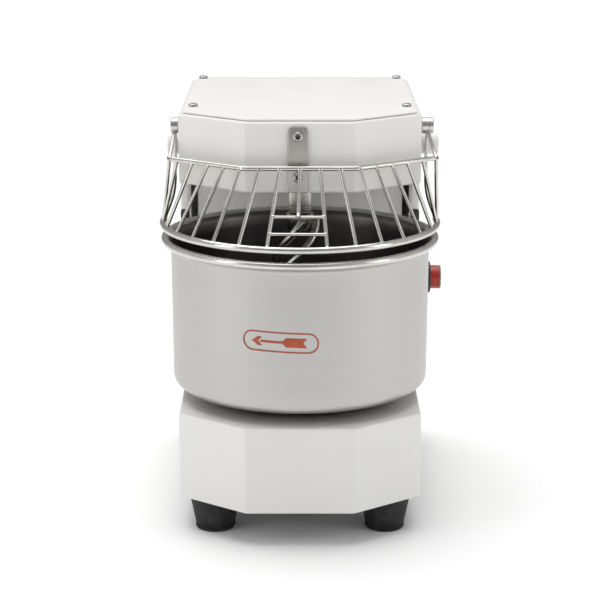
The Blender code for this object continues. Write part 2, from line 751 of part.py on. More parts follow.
def motor():
    """The motor upright in the column, on a bracket, with its shaft and pulley in the head."""
    at = (MOTOR_X, MOTOR_Y)
    low, high, radius = MOTOR_LOW, MOTOR_HIGH, MOTOR_RADIUS
    profile = [(0, high), (0.017, high), (0.017, high - 0.004), (radius - 0.003, high - 0.007)]
    profile += [(radius, high - 0.010), (radius, high - 0.026), (radius - 0.002, high - 0.028)]
    profile += [(radius - 0.002, low + 0.024), (radius, low + 0.022), (radius, low + 0.008)]
    profile += [(radius - 0.006, low), (0, low)]
    add(turned("motor", profile, steps=20, closed=False), cast_grey(), (*at, 0))
    shelf = block("motor_bracket", (0.022, 0.1620, high + GAP), (0.1120, 0.2360, high + GAP + 0.003))
    hole = rod("motor_bracket_hole", (*at, high - 0.01), (*at, high + 0.02), 0.010)
    add(cut(shelf, hole), plain_steel())
    ends = (*at, high + GAP), (*at, MOTOR_SHAFT_TOP)
    add(rod("motor_shaft", *ends, MOTOR_SHAFT_RADIUS, sides=20), plain_steel())
    pulley("motor_pulley", at, MOTOR_PULLEY_RADIUS, MOTOR_SHAFT_RADIUS)
    belt_gap = GAP * 3
    band(
        "drive_belt", (0, DRIVE_Y), PULLEY_RADIUS + belt_gap, at, MOTOR_PULLEY_RADIUS + belt_gap,
        PULLEY_Z, BELT_THICK, PULLEY_WIDTH - 0.0034, black_rubber(),
    )


def cast_grey():
    return material("cast_grey", (0.25, 0.27, 0.28), 0.55, 0.3)


def top_wire_point(distance):
    """A point on the guard's top wire, by its distance along the wire from the middle."""
    side = math.copysign(1, distance)
    far = abs(distance)
    if far <= TOP_WIRE_FLAT:
        return Vector((distance, TOP_WIRE_FRONT, TOP_WIRE_Z))
    bend = Vector((TOP_WIRE_FLAT, TOP_WIRE_FRONT))
    end = Vector(TOP_WIRE_END)
    point = bend + (end - bend).normalized() * (far - TOP_WIRE_FLAT)
    return Vector((side * point.x, point.y, TOP_WIRE_Z))


def ring_point(degrees):
    """A point on the guard's ring, by the angle from straight ahead."""
    a = math.radians(degrees)
    return Vector((RING_RADIUS * math.sin(a), RING_Y - RING_RADIUS * math.cos(a), RING_Z))


def guard():
    """Hinged wire guard: a ring, a top wire, the rods between them, and an arm to a hub each side."""
    ring_steps = 40
    span = RING_END_DEG
    ring = [tuple(ring_point(-span + 2 * span * i / ring_steps)) for i in range(ring_steps + 1)]
    grille = wire("guard", ring, RING_WIRE, sides=8)
    half = (Vector(TOP_WIRE_END) - Vector((TOP_WIRE_FLAT, TOP_WIRE_FRONT))).length + TOP_WIRE_FLAT
    wire_halves = {-1: half - LEFT_WIRE_SHORTER, 1: half}
    stops = (-wire_halves[-1], -TOP_WIRE_FLAT, TOP_WIRE_FLAT, wire_halves[1])
    others = [wire("top_wire", [tuple(top_wire_point(d)) for d in stops], TOP_WIRE)]
    rods = {}
    for n in range(-ROD_COUNT_HALF, ROD_COUNT_HALF + 1):
        rods[n] = (top_wire_point(n * ROD_STEP), ring_point(n * ROD_STEP_DEG + ROD_LEAN_DEG))
    for n, (top, foot) in rods.items():
        if n == 0:
            foot = top.lerp(foot, CROSSBARS[0])
        others.append(wire(f"guard_rod_{n}", [tuple(top), tuple(foot)], ROD_WIRE, sides=6))
    for i, share in enumerate(CROSSBARS):
        left = rods[-1][0].lerp(rods[-1][1], share)
        right = rods[1][0].lerp(rods[1][1], share)
        ends = [tuple(left), tuple(right)]
        others.append(wire(f"guard_crossbar_{i}", ends, CROSSBAR_WIRE, sides=6))
    for side in (-1, 1):
        hub_in = (side * (BODY_HALF + GAP), PIVOT_Y, PIVOT_Z)
        hub_out = (side * (BODY_HALF + GAP + HUB_LENGTHS[side]), PIVOT_Y, PIVOT_Z)
        others.append(rod("guard_hub", hub_in, hub_out, HUB_RADIUS))
        under_hub = (Vector(hub_in) + Vector(hub_out)) / 2 - Vector((0, 0, HUB_RADIUS * 0.5))
        wire_end = top_wire_point(side * wire_halves[side])
        post_foot = ring_point(side * POST_DEG)
        arm_foot = ring_point(side * ARM_FOOT_DEG)
        middle = [
            under_hub.lerp(arm_foot, share) + Vector((side * inward, back, 0))
            for share, (inward, back) in ARM_BOWS.items()
        ]
        arm = [under_hub, *middle, arm_foot]
        for points in (arm, [under_hub, wire_end], [wire_end, post_foot]):
            others.append(wire("guard_arm", [tuple(p) for p in points], ARM_WIRE, sides=6))
    join(grille, *others)
    for side in (-1, 1):
        bore_out = side * (BODY_HALF + GAP + HUB_LENGTHS[side] - 0.003)
        bore_ends = (side * (BODY_HALF - 0.02), PIVOT_Y, PIVOT_Z), (bore_out, PIVOT_Y, PIVOT_Z)
        cut(grille, rod("guard_bore", *bore_ends, PIN_BORE))
        name = "left" if side < 0 else "right"
        pin_in = (side * (BODY_HALF + 0.00005), PIVOT_Y, PIVOT_Z)
        pin_out = (bore_out - side * 0.0006, PIVOT_Y, PIVOT_Z)
        add(rod(f"guard_pin_{name}", pin_in, pin_out, PIN_RADIUS), stainless())
    add(grille, stainless())


def guard_stops():
    """White nylon buffers that the guard's arms rest on, one each side of the head."""
    for side, name in ((-1, "left"), (1, "right")):
        start = (side * (BODY_HALF + GAP), STOP_Y, STOP_Z)
        end = (side * (BODY_HALF + GAP + STOP_LENGTHS[side]), STOP_Y, STOP_Z)
        buffer = rod(f"guard_stop_{name}", start, end, STOP_RADIUS, sides=20)
        add(bevel(buffer, 0.0012, 1), white_nylon())


def side_panels():
    """A white cover and a black vented panel on each side of the column."""
    for side, name in ((-1, "left"), (1, "right")):
        low_x, high_x = sorted((side * (BODY_HALF + GAP), side * PANEL_OUT))
        low, high = (low_x, SIDE_FRONT, SIDE_SPLIT + GAP), (high_x, SIDE_BACK, SIDE_HIGH)
        add(bevel(block(f"side_cover_{name}", low, high), 0.0025, 3), white_paint())
        low, high = (low_x, SIDE_FRONT, SIDE_LOW), (high_x, SIDE_BACK, SIDE_SPLIT)
        vent = bevel(block(f"side_vent_{name}", low, high), 0.0025, 2)
        if side > 0:
            switch_seats(vent)
        low_x, high_x = sorted((side * (PANEL_OUT - VENT_SLOT_DEPTH), side * (PANEL_OUT + 0.01)))
        for i in range(VENT_SLOTS):
            z = VENT_SLOT_LOW + i * VENT_SLOT_STEP
            low = (low_x, SIDE_FRONT + VENT_MARGIN, z)
            high = (high_x, SIDE_BACK - VENT_MARGIN, z + VENT_SLOT_HEIGHT)
            cut(vent, block(f"vent_cut_{name}_{i}", low, high))
        add(vent, black_plastic())


def switch_seats(panel):
    """A collar where a switch stands off the panel, and a well for each button."""
    for name, height in SWITCH_HEIGHTS.items():
        face = SWITCH_FACES[name]
        if face > PANEL_OUT:
            ends = (PANEL_OUT - 0.005, SWITCH_Y, height), (face, SWITCH_Y, height)
            join(panel, rod(f"{name}_collar", *ends, BEZEL_RADIUS - 0.001, sides=20))
        ends = (face - BUTTON_WELL, SWITCH_Y, height), (face + 0.05, SWITCH_Y, height)
        cut(panel, rod(f"{name}_well", *ends, BUTTON_BORE, sides=20))


def switches():
    """Stop and start push buttons, one above the other, each in a black bezel on the right."""
    colours = {"stop": (0.62, 0.04, 0.03), "start": (0.03, 0.32, 0.08)}
    finishes = {"stop": "stop_red", "start": "start_green"}
    for name, height in SWITCH_HEIGHTS.items():
        face = SWITCH_FACES[name]
        profile = [(BUTTON_BORE, BEZEL_THICK), (BEZEL_RADIUS - 0.0008, BEZEL_THICK)]
        profile += [(BEZEL_RADIUS, BEZEL_THICK - 0.0008), (BEZEL_RADIUS, 0), (BUTTON_BORE, 0)]
        ring = turned(f"{name}_bezel", profile, steps=20)
        add(ring, black_plastic(), (face + GAP, SWITCH_Y, height))
        ring.rotation_euler = (0, math.pi / 2, 0)
        ends = (face - BUTTON_ROOT, SWITCH_Y, height), (BUTTON_TIPS[name], SWITCH_Y, height)
        button = rod(f"{name}_button", *ends, BUTTON_RADIUS, sides=20)
        add(bevel(button, 0.0012, 1), material(finishes[name], colours[name], 0.3))


def power_inlet():
    """The socket for a detachable lead, low on the rear cover."""
    inside = COLUMN_BACK + GAP
    seat = inside + SHEET + GAP
    body = inlet_block("power_inlet", INLET_BODY, inside - INLET_DEPTH, seat + 0.0002)
    join(body, inlet_block("inlet_flange", INLET_FLANGE, seat, INLET_BACK))
    cut(body, inlet_block("inlet_socket", INLET_SOCKET, inside - INLET_DEPTH + 0.004, inside + 0.03))
    add(body, black_plastic())


base_casing()
column_casing()
rear_panel()
head_casing()
front_strap()
feet()
bowl()
bowl_drive()
spiral()
countershaft()
chains()
motor()
guard()
guard_stops()
side_panels()
switches()
power_inlet()
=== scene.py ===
"""Looks of a benchtop spiral dough mixer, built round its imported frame.

Everything is in metres in the frame's own axes: +Z up, the machine's front faces -Y. Places come
from the frame's boxes, and each visible casing, wire and turned piece is remade finely here.
"""

import json
from math import atan2, copysign, cos, pi, radians, sin, sqrt, tan

import bmesh
import bpy
from mathutils import Matrix, Vector


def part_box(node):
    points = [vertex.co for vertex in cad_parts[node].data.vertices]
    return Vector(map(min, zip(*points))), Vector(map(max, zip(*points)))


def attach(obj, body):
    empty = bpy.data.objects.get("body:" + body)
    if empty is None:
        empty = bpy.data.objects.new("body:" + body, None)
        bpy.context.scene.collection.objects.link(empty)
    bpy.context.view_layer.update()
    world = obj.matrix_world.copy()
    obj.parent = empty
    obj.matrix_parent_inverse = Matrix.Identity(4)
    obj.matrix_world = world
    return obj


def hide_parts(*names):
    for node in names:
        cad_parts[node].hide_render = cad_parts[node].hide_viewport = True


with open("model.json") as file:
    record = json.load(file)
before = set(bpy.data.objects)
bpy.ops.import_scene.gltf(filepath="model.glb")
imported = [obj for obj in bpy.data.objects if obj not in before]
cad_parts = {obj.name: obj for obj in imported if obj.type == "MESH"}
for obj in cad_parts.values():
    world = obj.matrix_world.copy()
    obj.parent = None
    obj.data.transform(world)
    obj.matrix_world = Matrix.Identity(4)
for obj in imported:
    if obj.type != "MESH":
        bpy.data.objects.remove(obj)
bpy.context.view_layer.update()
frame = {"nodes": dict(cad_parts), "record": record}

# Places, from the frame
BOWL_LOW, BOWL_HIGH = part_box("bowl")
AXIS = (BOWL_LOW + BOWL_HIGH) / 2
BASE_LOW, BASE_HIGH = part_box("base_housing")
COLUMN_LOW, COLUMN_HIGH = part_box("column_housing")
HEAD_LOW, HEAD_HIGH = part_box("head_housing")
LID_LOW, LID_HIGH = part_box("head_cover")
GUARD_LOW, GUARD_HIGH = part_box("guard")
SHAFT_LOW, SHAFT_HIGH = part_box("spiral_shaft")
SIDES = ((-1, "left"), (1, "right"))
CORE = 0.0004  # how near its axis a turned profile begins and ends

# Casing sizes that a box can't give, as the frame has them
BODY_HALF = (BASE_HIGH.x - BASE_LOW.x) / 2
FLAT_HALF = 0.053
BASE_SLANT = 0.050
HEAD_SLANT = 0.052
SHEET = 0.0015
BEND = 0.0045
SHARP_BEND = 0.001
BACK_CORNER = 0.016
TOP_BEND = 0.0022
HEM = 0.012
BASE_BORE = 0.021
HEAD_FLANGE = 0.020
HEAD_BORE = 0.020
FOOT_RADIUS = 0.0198
CUT_PAST = 0.01

# Column: its window, the rear cover's louvres, the inlet, the panels beside it
WINDOW_HALF = 0.095
WINDOW_SPAN = (0.060, 0.318)
LOUVRE_LOW = 0.205
LOUVRE_STEP = 0.012
LOUVRE_COUNT = 7
LOUVRE_HALF = 0.045
LOUVRE_OPEN = 0.004
LOUVRE_DEPTH = 0.0021
INLET_Z = 0.0900
INLET_HOLE = (0.0146, 0.0114)
INLET_SHROUD = (0.0140, 0.0108)
INLET_THROAT = (0.0120, 0.0080)
BLADE_HALF = 0.001
BLADE_SHORTER = 0.003
BLADES_AT = ((-0.007, 0.0880), (0.0, 0.0925), (0.007, 0.0880))
PANEL_OUT = 0.1300
VENT_COUNT = 3
VENT_LOW = 0.0075
VENT_STEP = 0.0085
VENT_OPEN = 0.004
VENT_DEPTH = 0.005
VENT_MARGIN = 0.012

# Bowl and the sign printed on it
BOWL_WALL = 0.0014
BOWL_BODY = 0.1300
BOWL_FOOT = 0.1292
BOWL_HEEL = 0.010
BOWL_COVE = 0.0062
BEAD = 0.0038
SIGN_WALL = 0.1297
SIGN_LIFT = 0.00018
SIGN_X, SIGN_Z = -0.0190, 0.2062
SIGN_LEAN = -0.030

# Spiral shaft and hook
JOURNAL = 0.0090
SHAFT_STEP_Z = 0.3655
SHAFT_GROOVES = (0.3050, 0.3000)
HOOK_BAR = 0.0042
HOOK_TOP = 0.2900
HOOK_FOOT = 0.1435
HOOK_COLLAR = 0.0140
HOOK_COLLAR_LOW = 0.2790
HOOK_TWIST_DEG = 359
HOOK_LEAD_DEG = 72

# Guard wires
RING_WIRE = 0.0035
RING_RADIUS = (GUARD_HIGH.x - GUARD_LOW.x) / 2 - RING_WIRE
RING_Y = 0.0015
RING_Z = GUARD_LOW.z + RING_WIRE
RING_END_DEG = 96
ROD_WIRE = 0.0018
CROSSBAR_WIRE = 0.0016
ARM_WIRE = 0.0019
ROD_COUNT_HALF = 7
ROD_STEP_DEG = 12
ROD_LEAN_DEG = -1.2
ROD_STEP = 0.0194
TOP_WIRE = 0.0024
TOP_WIRE_Z = 0.3664
TOP_WIRE_FRONT = -0.084
TOP_WIRE_FLAT = 0.054
TOP_WIRE_END = (0.134, -0.026)
LEFT_WIRE_SHORTER = 0.0072
CROSSBARS = (0.60, 0.81)
POST_DEG = 90
ARM_FOOT_DEG = RING_END_DEG - 0.8
ARM_BOWS = {0.35: (-0.0038, 0.004), 0.7: (-0.0060, 0.004)}
PIVOT_Y = -0.005
PIVOT_Z = 0.3955
HUB_RADIUS = 0.0080
HUB_LENGTHS = {-1: 0.0078, 1: 0.0120}

# Camera, by its distance from the bowl's axis, and the floor
CAMERA_BACK = 1.871
CAMERA_HEIGHT = 0.690
CAMERA_TILT_DEG = 14.23
FOCAL_PER_WIDTH = 3.16
SENSOR = 36.0
FLOOR_REACH = 12.0


# Materials


def into_scene(obj):
    bpy.context.scene.collection.objects.link(obj)


class Nodes:
    """A node tree and the few nodes that looks and surroundings share."""

    def __init__(self, tree):
        self.tree = tree

    def node(self, kind, **settings):
        made = self.tree.nodes.new("ShaderNode" + kind)
        for key, value in settings.items():
            setattr(made, key, value)
        return made

    def link(self, output, target):
        self.tree.links.new(output, target)

    def ramp(self, factor, stops):
        """Colours or greys along a factor, from (position, colour) pairs."""
        made = self.node("ValToRGB")
        elements = made.color_ramp.elements
        while len(elements) < len(stops):
            elements.new(0.5)
        for element, (position, colour) in zip(elements, stops):
            element.position = position
            element.color = (*colour, 1) if isinstance(colour, tuple) else (colour,) * 3 + (1,)
        self.link(factor, made.inputs["Fac"])
        return made.outputs["Color"]

    def blend(self, kind, first, second):
        """Two colours together, in full."""
        made = self.node("Mix", data_type="RGBA", blend_type=kind)
        made.inputs["Factor"].default_value = 1.0
        self.link(first, made.inputs[6])
        self.link(second, made.inputs[7])
        return made.outputs[2]


class Look(Nodes):
    """A material under construction."""

    def __init__(self, name, colour, roughness, metallic=0.0):
        self.material = bpy.data.materials.new(name)
        self.material.use_nodes = True
        super().__init__(self.material.node_tree)
        self.shader = self.tree.nodes["Principled BSDF"]
        self.last_bump = None
        self.material.diffuse_color = (*colour, 1)
        self.set("Base Color", (*colour, 1))
        self.set("Roughness", roughness)
        self.set("Metallic", metallic)

    def set(self, socket, value):
        self.shader.inputs[socket].default_value = value

    def noise(self, scale, detail=3.0, roughness=0.55):
        """Noise over the object, by one scale or a scale along each axis."""
        where = self.node("TexCoord")
        stretch = self.node("Mapping")
        stretch.inputs["Scale"].default_value = scale if isinstance(scale, tuple) else (scale,) * 3
        self.link(where.outputs["Object"], stretch.inputs["Vector"])
        made = self.node("TexNoise")
        made.inputs["Scale"].default_value = 1.0
        made.inputs["Detail"].default_value = detail
        made.inputs["Roughness"].default_value = roughness
        self.link(stretch.outputs["Vector"], made.inputs["Vector"])
        return made.outputs["Fac"]

    def colour(self, output):
        self.link(output, self.shader.inputs["Base Color"])

    def rough(self, output):
        self.link(output, self.shader.inputs["Roughness"])

    def mottle(self, scale, detail, stops, roughness=0.55):
        """Colours the surface by a noise, and returns the noise."""
        patches = self.noise(scale, detail, roughness)
        self.colour(self.ramp(patches, stops))
        return patches

    def wear(self, scale, detail, stops):
        """Varies the roughness by a noise."""
        self.rough(self.ramp(self.noise(scale, detail), stops))

    def bump(self, height, strength, distance):
        """Adds a bump on top of the bumps made so far."""
        made = self.node("Bump")
        made.inputs["Strength"].default_value = strength
        made.inputs["Distance"].default_value = distance
        self.link(height, made.inputs["Height"])
        if self.last_bump:
            self.link(self.last_bump, made.inputs["Normal"])
        self.last_bump = made.outputs["Normal"]
        self.link(self.last_bump, self.shader.inputs["Normal"])


def spread(grey, by):
    """A grey made darker and paler by a step, inside 0 to 1."""
    return (max(grey - by, 0.0), min(grey + by, 1.0))


def powder_coat(name, tone, gloss=0.45):
    """White powder coat: an orange-peel skin, slight clouding and a few rubbed, glossier places."""
    look = Look(name, (tone, tone * 0.993, tone * 0.960), 0.38)
    low, high = spread(tone, 0.012)
    pale, warm = (high, high * 0.995, high * 0.965), (low, low * 0.99, low * 0.95)
    look.mottle(7, 4.0, [(0.3, warm), (0.7, pale)])
    look.wear(22, 5.0, [(0.3, 0.33), (0.75, 0.46)])
    look.bump(look.noise(620, 2.0), 0.10, 0.0004)
    look.bump(look.noise(60, 2.0), 0.04, 0.0010)
    look.set("Specular IOR Level", gloss)
    return look.material


def brushed_steel(name, tone, grain, roughness=0.30, tint=(1.0, 0.985, 0.955), cloudy=0.02):
    """Stainless with brush lines: the grain is long where its scale is small."""
    colour = tuple(tone * c for c in tint)
    look = Look(name, colour, roughness, 1.0)
    lines = look.noise(grain, 2.0, 0.7)
    broad = look.noise(tuple(0.12 * g for g in grain), 3.0)
    low = tuple(max(c - cloudy, 0) for c in colour)
    high = tuple(min(c + cloudy, 1) for c in colour)
    streak = look.ramp(lines, [(0.32, low), (0.68, high)])
    wide = look.ramp(broad, [(0.35, (0.975, 0.975, 0.975)), (0.65, (1.0, 1.0, 1.0))])
    look.colour(look.blend("MULTIPLY", streak, wide))
    low, high = spread(roughness, 0.05)
    look.rough(look.ramp(lines, [(0.3, low), (0.7, high)]))
    look.bump(lines, 0.035, 0.0002)
    return look.material


def polished_wire(name, tone=0.62, roughness=0.13):
    """Electropolished stainless wire: bright, with faint die lines and a soft stain here and there."""
    colour = (tone, tone * 0.975, tone * 0.93)
    look = Look(name, colour, roughness, 1.0)
    look.mottle(38, 4.0, [(0.36, tuple(c * 0.86 for c in colour)), (0.62, colour)])
    look.wear(120, 3.0, [(0.3, roughness - 0.05), (0.7, roughness + 0.08)])
    look.bump(look.noise(900, 1.0), 0.03, 0.0002)
    return look.material


def black_rubber():
    """Moulded black rubber: grainy, matt, with pale dust caught in the grain."""
    look = Look("black_rubber_look", (0.022, 0.022, 0.024), 0.72)
    look.mottle(90, 6.0, [(0.45, (0.014, 0.014, 0.016)), (0.80, (0.045, 0.045, 0.048))], 0.7)
    look.wear(45, 3.0, [(0.3, 0.58), (0.7, 0.78)])
    look.bump(look.noise(1100, 2.0), 0.20, 0.0003)
    look.set("Specular IOR Level", 0.35)
    return look.material


def black_plastic():
    """Spark-textured black plastic."""
    look = Look("black_plastic_look", (0.022, 0.022, 0.023), 0.48)
    look.mottle(70, 4.0, [(0.35, (0.016, 0.016, 0.017)), (0.75, (0.032, 0.032, 0.034))])
    look.wear(160, 3.0, [(0.3, 0.40), (0.7, 0.56)])
    look.bump(look.noise(1500, 1.0), 0.15, 0.0002)
    return look.material


def white_nylon():
    """Turned white nylon: fine lathe rings and a slightly waxy face."""
    look = Look("white_nylon_look", (0.86, 0.86, 0.84), 0.42)
    look.mottle(55, 4.0, [(0.3, (0.82, 0.82, 0.80)), (0.7, (0.88, 0.88, 0.865))])
    look.wear(100, 3.0, [(0.3, 0.36), (0.7, 0.50)])
    look.bump(look.noise((1800, 90, 90), 1.0), 0.10, 0.0002)
    look.set("Subsurface Weight", 0.08)
    look.set("Subsurface Radius", (0.004, 0.004, 0.004))
    return look.material


def button_plastic(name, colour):
    """Glossy coloured plastic, a little paler where fingers polish it."""
    look = Look(name, colour, 0.28)
    worn = tuple(min(c * 1.25 + 0.02, 1) for c in colour)
    dull = tuple(c * 0.80 for c in colour)
    look.mottle(140, 4.0, [(0.32, dull), (0.6, colour), (0.85, worn)])
    look.wear(180, 4.0, [(0.3, 0.20), (0.7, 0.36)])
    look.bump(look.noise(900, 1.0), 0.05, 0.0002)
    return look.material


def printed_ink():
    """Screen-printed orange ink on a thin clear label."""
    look = Look("orange_print", (0.44, 0.075, 0.026), 0.45)
    inks = [(0.3, (0.37, 0.058, 0.022)), (0.6, (0.46, 0.078, 0.028)), (0.85, (0.52, 0.12, 0.05))]
    patch = look.mottle(160, 5.0, inks)
    look.rough(look.ramp(patch, [(0.3, 0.38), (0.7, 0.55)]))
    return look.material


def machined_steel(name, tone, roughness):
    """Plain machined or zinc-plated steel, oily in places."""
    colour = (tone, tone, tone * 1.02)
    look = Look(name, colour, roughness, 1.0)
    oil = look.mottle(60, 5.0, [(0.35, tuple(0.7 * c for c in colour)), (0.7, colour)])
    look.rough(look.ramp(oil, [(0.3, roughness - 0.08), (0.7, roughness + 0.12)]))
    look.bump(look.noise((700, 700, 120), 2.0), 0.08, 0.0002)
    return look.material


def cast_paint():
    """Grey hammered paint on the motor's casting."""
    look = Look("cast_grey_look", (0.20, 0.22, 0.23), 0.5)
    look.mottle(80, 5.0, [(0.3, (0.15, 0.165, 0.175)), (0.7, (0.24, 0.26, 0.27))])
    look.wear(90, 3.0, [(0.3, 0.4), (0.7, 0.6)])
    look.bump(look.noise(420, 2.0), 0.3, 0.0005)
    return look.material


PAINT = powder_coat("white_powder_coat", 0.79)
# Lid: the body's white powder coat made a little paler (0.82 against 0.79), painted light from
# overhead, with less gloss
TOP_LIT_LID_PAINT = powder_coat("lid_powder_coat_painted_light", 0.82, 0.20)
# Column front: the body's white powder coat made darker (0.62 against 0.79), painted shade for the
# shadow under the head
SHADED_FACE_PAINT = powder_coat("column_face_painted_shade", 0.62)
BOWL_STEEL = brushed_steel("bowl_brushed_steel", 0.50, (5, 5, 1500), 0.40)
# Inside of the bowl: the bowl's stainless made dark and warm (0.20, brown tint), painted shade and
# painted reflection of the dark interior
SHADED_BOWL_INSIDE = brushed_steel("bowl_inside_steel_painted_shade", 0.20, (6, 6, 900), 0.36, (1.0, 0.93, 0.86))
RIM_STEEL = polished_wire("rim_polished_steel", 0.66, 0.20)
WIRE_STEEL = polished_wire("guard_wire_steel")
STRAP_STEEL = brushed_steel("strap_brushed_steel", 0.42, (1500, 60, 9), 0.34, (1.0, 0.955, 0.89))
SHAFT_STEEL = brushed_steel("shaft_turned_steel", 0.50, (30, 30, 1700), 0.24, (1.0, 0.96, 0.90))
HOOK_STEEL = polished_wire("hook_polished_steel", 0.62, 0.22)
# Screw sockets: the screw's steel made near black (0.10), painted shade in the recess
SHADED_RECESS = machined_steel("screw_recess_painted_shade", 0.10, 0.55)
WELD_STEEL = machined_steel("weld_steel", 0.40, 0.42)
HUB_STEEL = brushed_steel("hub_turned_steel", 0.60, (1500, 40, 40), 0.24)
SCREW_STEEL = machined_steel("screw_steel", 0.55, 0.28)
DRIVE_STEEL = machined_steel("drive_steel", 0.36, 0.38)
RUBBER = black_rubber()
PLASTIC = black_plastic()
NYLON = white_nylon()
RED = button_plastic("stop_red_plastic", (0.50, 0.030, 0.022))
GREEN = button_plastic("start_green_plastic", (0.02, 0.24, 0.07))
CAP_RING = button_plastic("button_lens_ring", (0.42, 0.44, 0.36))
INK = printed_ink()
MOTOR_PAINT = cast_paint()


# Shapes


def finished(obj, body, finish, stands_for=(), sharp=35):
    """Gives a piece its material, its smooth shading and its body."""
    if obj.name not in bpy.context.scene.collection.objects:
        into_scene(obj)
    obj.data.materials.clear()
    obj.data.materials.append(finish)
    if obj.type == "MESH":
        obj.data.shade_smooth()
        obj.data.set_sharp_from_angle(angle=radians(sharp))
    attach(obj, body)
    if stands_for:
        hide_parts(*stands_for)


def mesh_object(name, points, faces):
    """A mesh with its doubled points merged and its faces turned outward."""
    mesh = bpy.data.meshes.new(name)
    mesh.from_pydata([tuple(p) for p in points], [], faces)
    mesh.validate()
    bm = bmesh.new()
    bm.from_mesh(mesh)
    bmesh.ops.remove_doubles(bm, verts=bm.verts, dist=0.000005)
    bmesh.ops.recalc_face_normals(bm, faces=bm.faces)
    bm.to_mesh(mesh)
    bm.free()
    return bpy.data.objects.new(name, mesh)


def strip_faces(count, rows, cyclic):
    """Quads between rows of points that follow each other in one list."""
    faces = []
    for row in range(rows - 1):
        for i in range(count if cyclic else count - 1):
            j = (i + 1) % count
            here, above = row * count, (row + 1) * count
            faces.append((here + i, here + j, above + j, above + i))
    return faces


def lathe(name, profile, at=(0, 0, 0), way=(0, 0, 1), steps=96, closed=False):
    """A profile of (radius, height) turned about an axis through a point."""
    rows = list(profile) + ([profile[0]] if closed else [])
    points = []
    for radius, height in rows:
        for i in range(steps):
            a = 2 * pi * i / steps
            points.append(Vector((radius * cos(a), radius * sin(a), height)))
    turn = Vector((0, 0, 1)).rotation_difference(Vector(way)).to_matrix()
    points = [turn @ p + Vector(at) for p in points]
    return mesh_object(name, points, strip_faces(steps, len(rows), True))


def offset_corners(corners, inset):
    """A convex outline's corners, drawn in by a distance. The outline runs anticlockwise."""
    moved = []
    for i, corner in enumerate(corners):
        here = Vector(corner)
        before = (here - Vector(corners[i - 1])).normalized()
        after = (Vector(corners[(i + 1) % len(corners)]) - here).normalized()
        first, second = Vector((-before.y, before.x)), Vector((-after.y, after.x))
        moved.append((here + (first + second) * inset / (1 + first.dot(second)), before, after))
    return moved


def rounded(corners, radii, inset=0.0, steps=8):
    """The outline with each corner rounded, drawn in by a distance."""
    outline = []
    for (corner, before, after), radius in zip(offset_corners(corners, inset), radii):
        bend = max(radius - inset, 0.0004)
        turn = before.angle_signed(after) * -1
        reach = bend * tan(abs(turn) / 2)
        start = corner - before * reach
        centre = start + Vector((-before.y, before.x)) * bend
        arm = start - centre
        for i in range(steps + 1):
            a = abs(turn) * i / steps
            c, s = cos(a), sin(a)
            outline.append(centre + Vector((arm.x * c - arm.y * s, arm.x * s + arm.y * c)))
    return outline


def quarter(inset, z, bend, upward, steps=5):
    """Levels that roll a wall over an edge: (inset, height) from the wall to the flat, or back."""
    levels = []
    for i in range(steps + 1):
        a = radians(90 * i / steps)
        rise = bend * sin(a)
        level = z - bend + rise if upward else z + bend - rise
        levels.append((inset + bend * (1 - cos(a)), level))
    return levels


def skin(name, corners, radii, levels, low_cap=None, high_cap=None, steps=8):
    """A surface of rounded outlines stacked at (inset, height) levels.

    A cap is "fill", or (x, y, radius) for a flat that ends at a round hole, or None.
    """
    rows = [[(p.x, p.y, z) for p in rounded(corners, radii, inset, steps)] for inset, z in levels]
    count = len(rows[0])
    for cap, at_end in ((low_cap, False), (high_cap, True)):
        if not isinstance(cap, tuple):
            continue
        x, y, radius = cap
        edge = rows[-1] if at_end else rows[0]
        hole = []
        for px, py, pz in edge:
            a = atan2(py - y, px - x)
            hole.append((x + radius * cos(a), y + radius * sin(a), pz))
        rows = rows + [hole] if at_end else [hole] + rows
    points = [p for row in rows for p in row]
    faces = strip_faces(count, len(rows), True)
    if low_cap == "fill":
        faces.append(tuple(reversed(range(count))))
    if high_cap == "fill":
        faces.append(tuple(range(len(points) - count, len(points))))
    return mesh_object(name, points, faces)


def box_corners(low, high):
    """A box's plan, anticlockwise."""
    return [(low.x, low.y), (high.x, low.y), (high.x, high.y), (low.x, high.y)]


def arc(centre, radius, start_deg, end_deg, steps):
    """Points along an arc, both of its ends in."""
    angles = [radians(start_deg + (end_deg - start_deg) * i / steps) for i in range(steps + 1)]
    return [(centre[0] + radius * cos(a), centre[1] + radius * sin(a)) for a in angles]


def soft_box(name, low, high, corner, edge, steps=5):
    """A block with rounded uprights and rounded top and bottom edges."""
    levels = list(reversed(quarter(0, low.z, edge, False, steps)))
    levels += quarter(0, high.z, edge, True, steps)
    return skin(name, box_corners(low, high), [corner] * 4, levels, "fill", "fill", steps)


def block(name, x, y, z, corner, edge, steps=5):
    """A soft box by its (low, high) span along each axis."""
    low, high = (Vector(ends) for ends in zip(x, y, z))
    return soft_box(name, low, high, corner, edge, steps)


def about(middle, half):
    """The span of a half width each side of a middle."""
    return middle - half, middle + half


def upright_plate(name, low, high, corner_radii, edge, rounded_back=True, steps=6):
    """A plate that stands in the XZ plane, with rounded corners and softened rims."""
    thick = high.y - low.y
    back = list(reversed(quarter(0, 0, edge, False, 3))) if rounded_back else [(0.0, 0.0)]
    corners = [(low.x, low.z), (high.x, low.z), (high.x, high.z), (low.x, high.z)]
    levels = back + quarter(0, thick, edge, True, 3)
    plate = skin(name, corners, corner_radii, levels, "fill", "fill", steps)
    plate.data.transform(Matrix(((1, 0, 0, 0), (0, 0, 1, low.y), (0, 1, 0, 0), (0, 0, 0, 1))))
    plate.data.flip_normals()
    return plate


def solidify(obj, thickness, offset=-1.0):
    """Makes a surface a sheet: inward at -1, outward at 1, both ways at 0."""
    made = obj.modifiers.new("Sheet", "SOLIDIFY")
    made.thickness = thickness
    made.offset = offset
    made.use_even_offset = True
    return obj


def bevelled(obj, width, segments, angle=35):
    """Rounds the edges that turn by more than an angle."""
    made = obj.modifiers.new("Edges", "BEVEL")
    made.width = width
    made.segments = segments
    made.limit_method = "ANGLE"
    made.angle_limit = radians(angle)
    made.harden_normals = False
    return obj


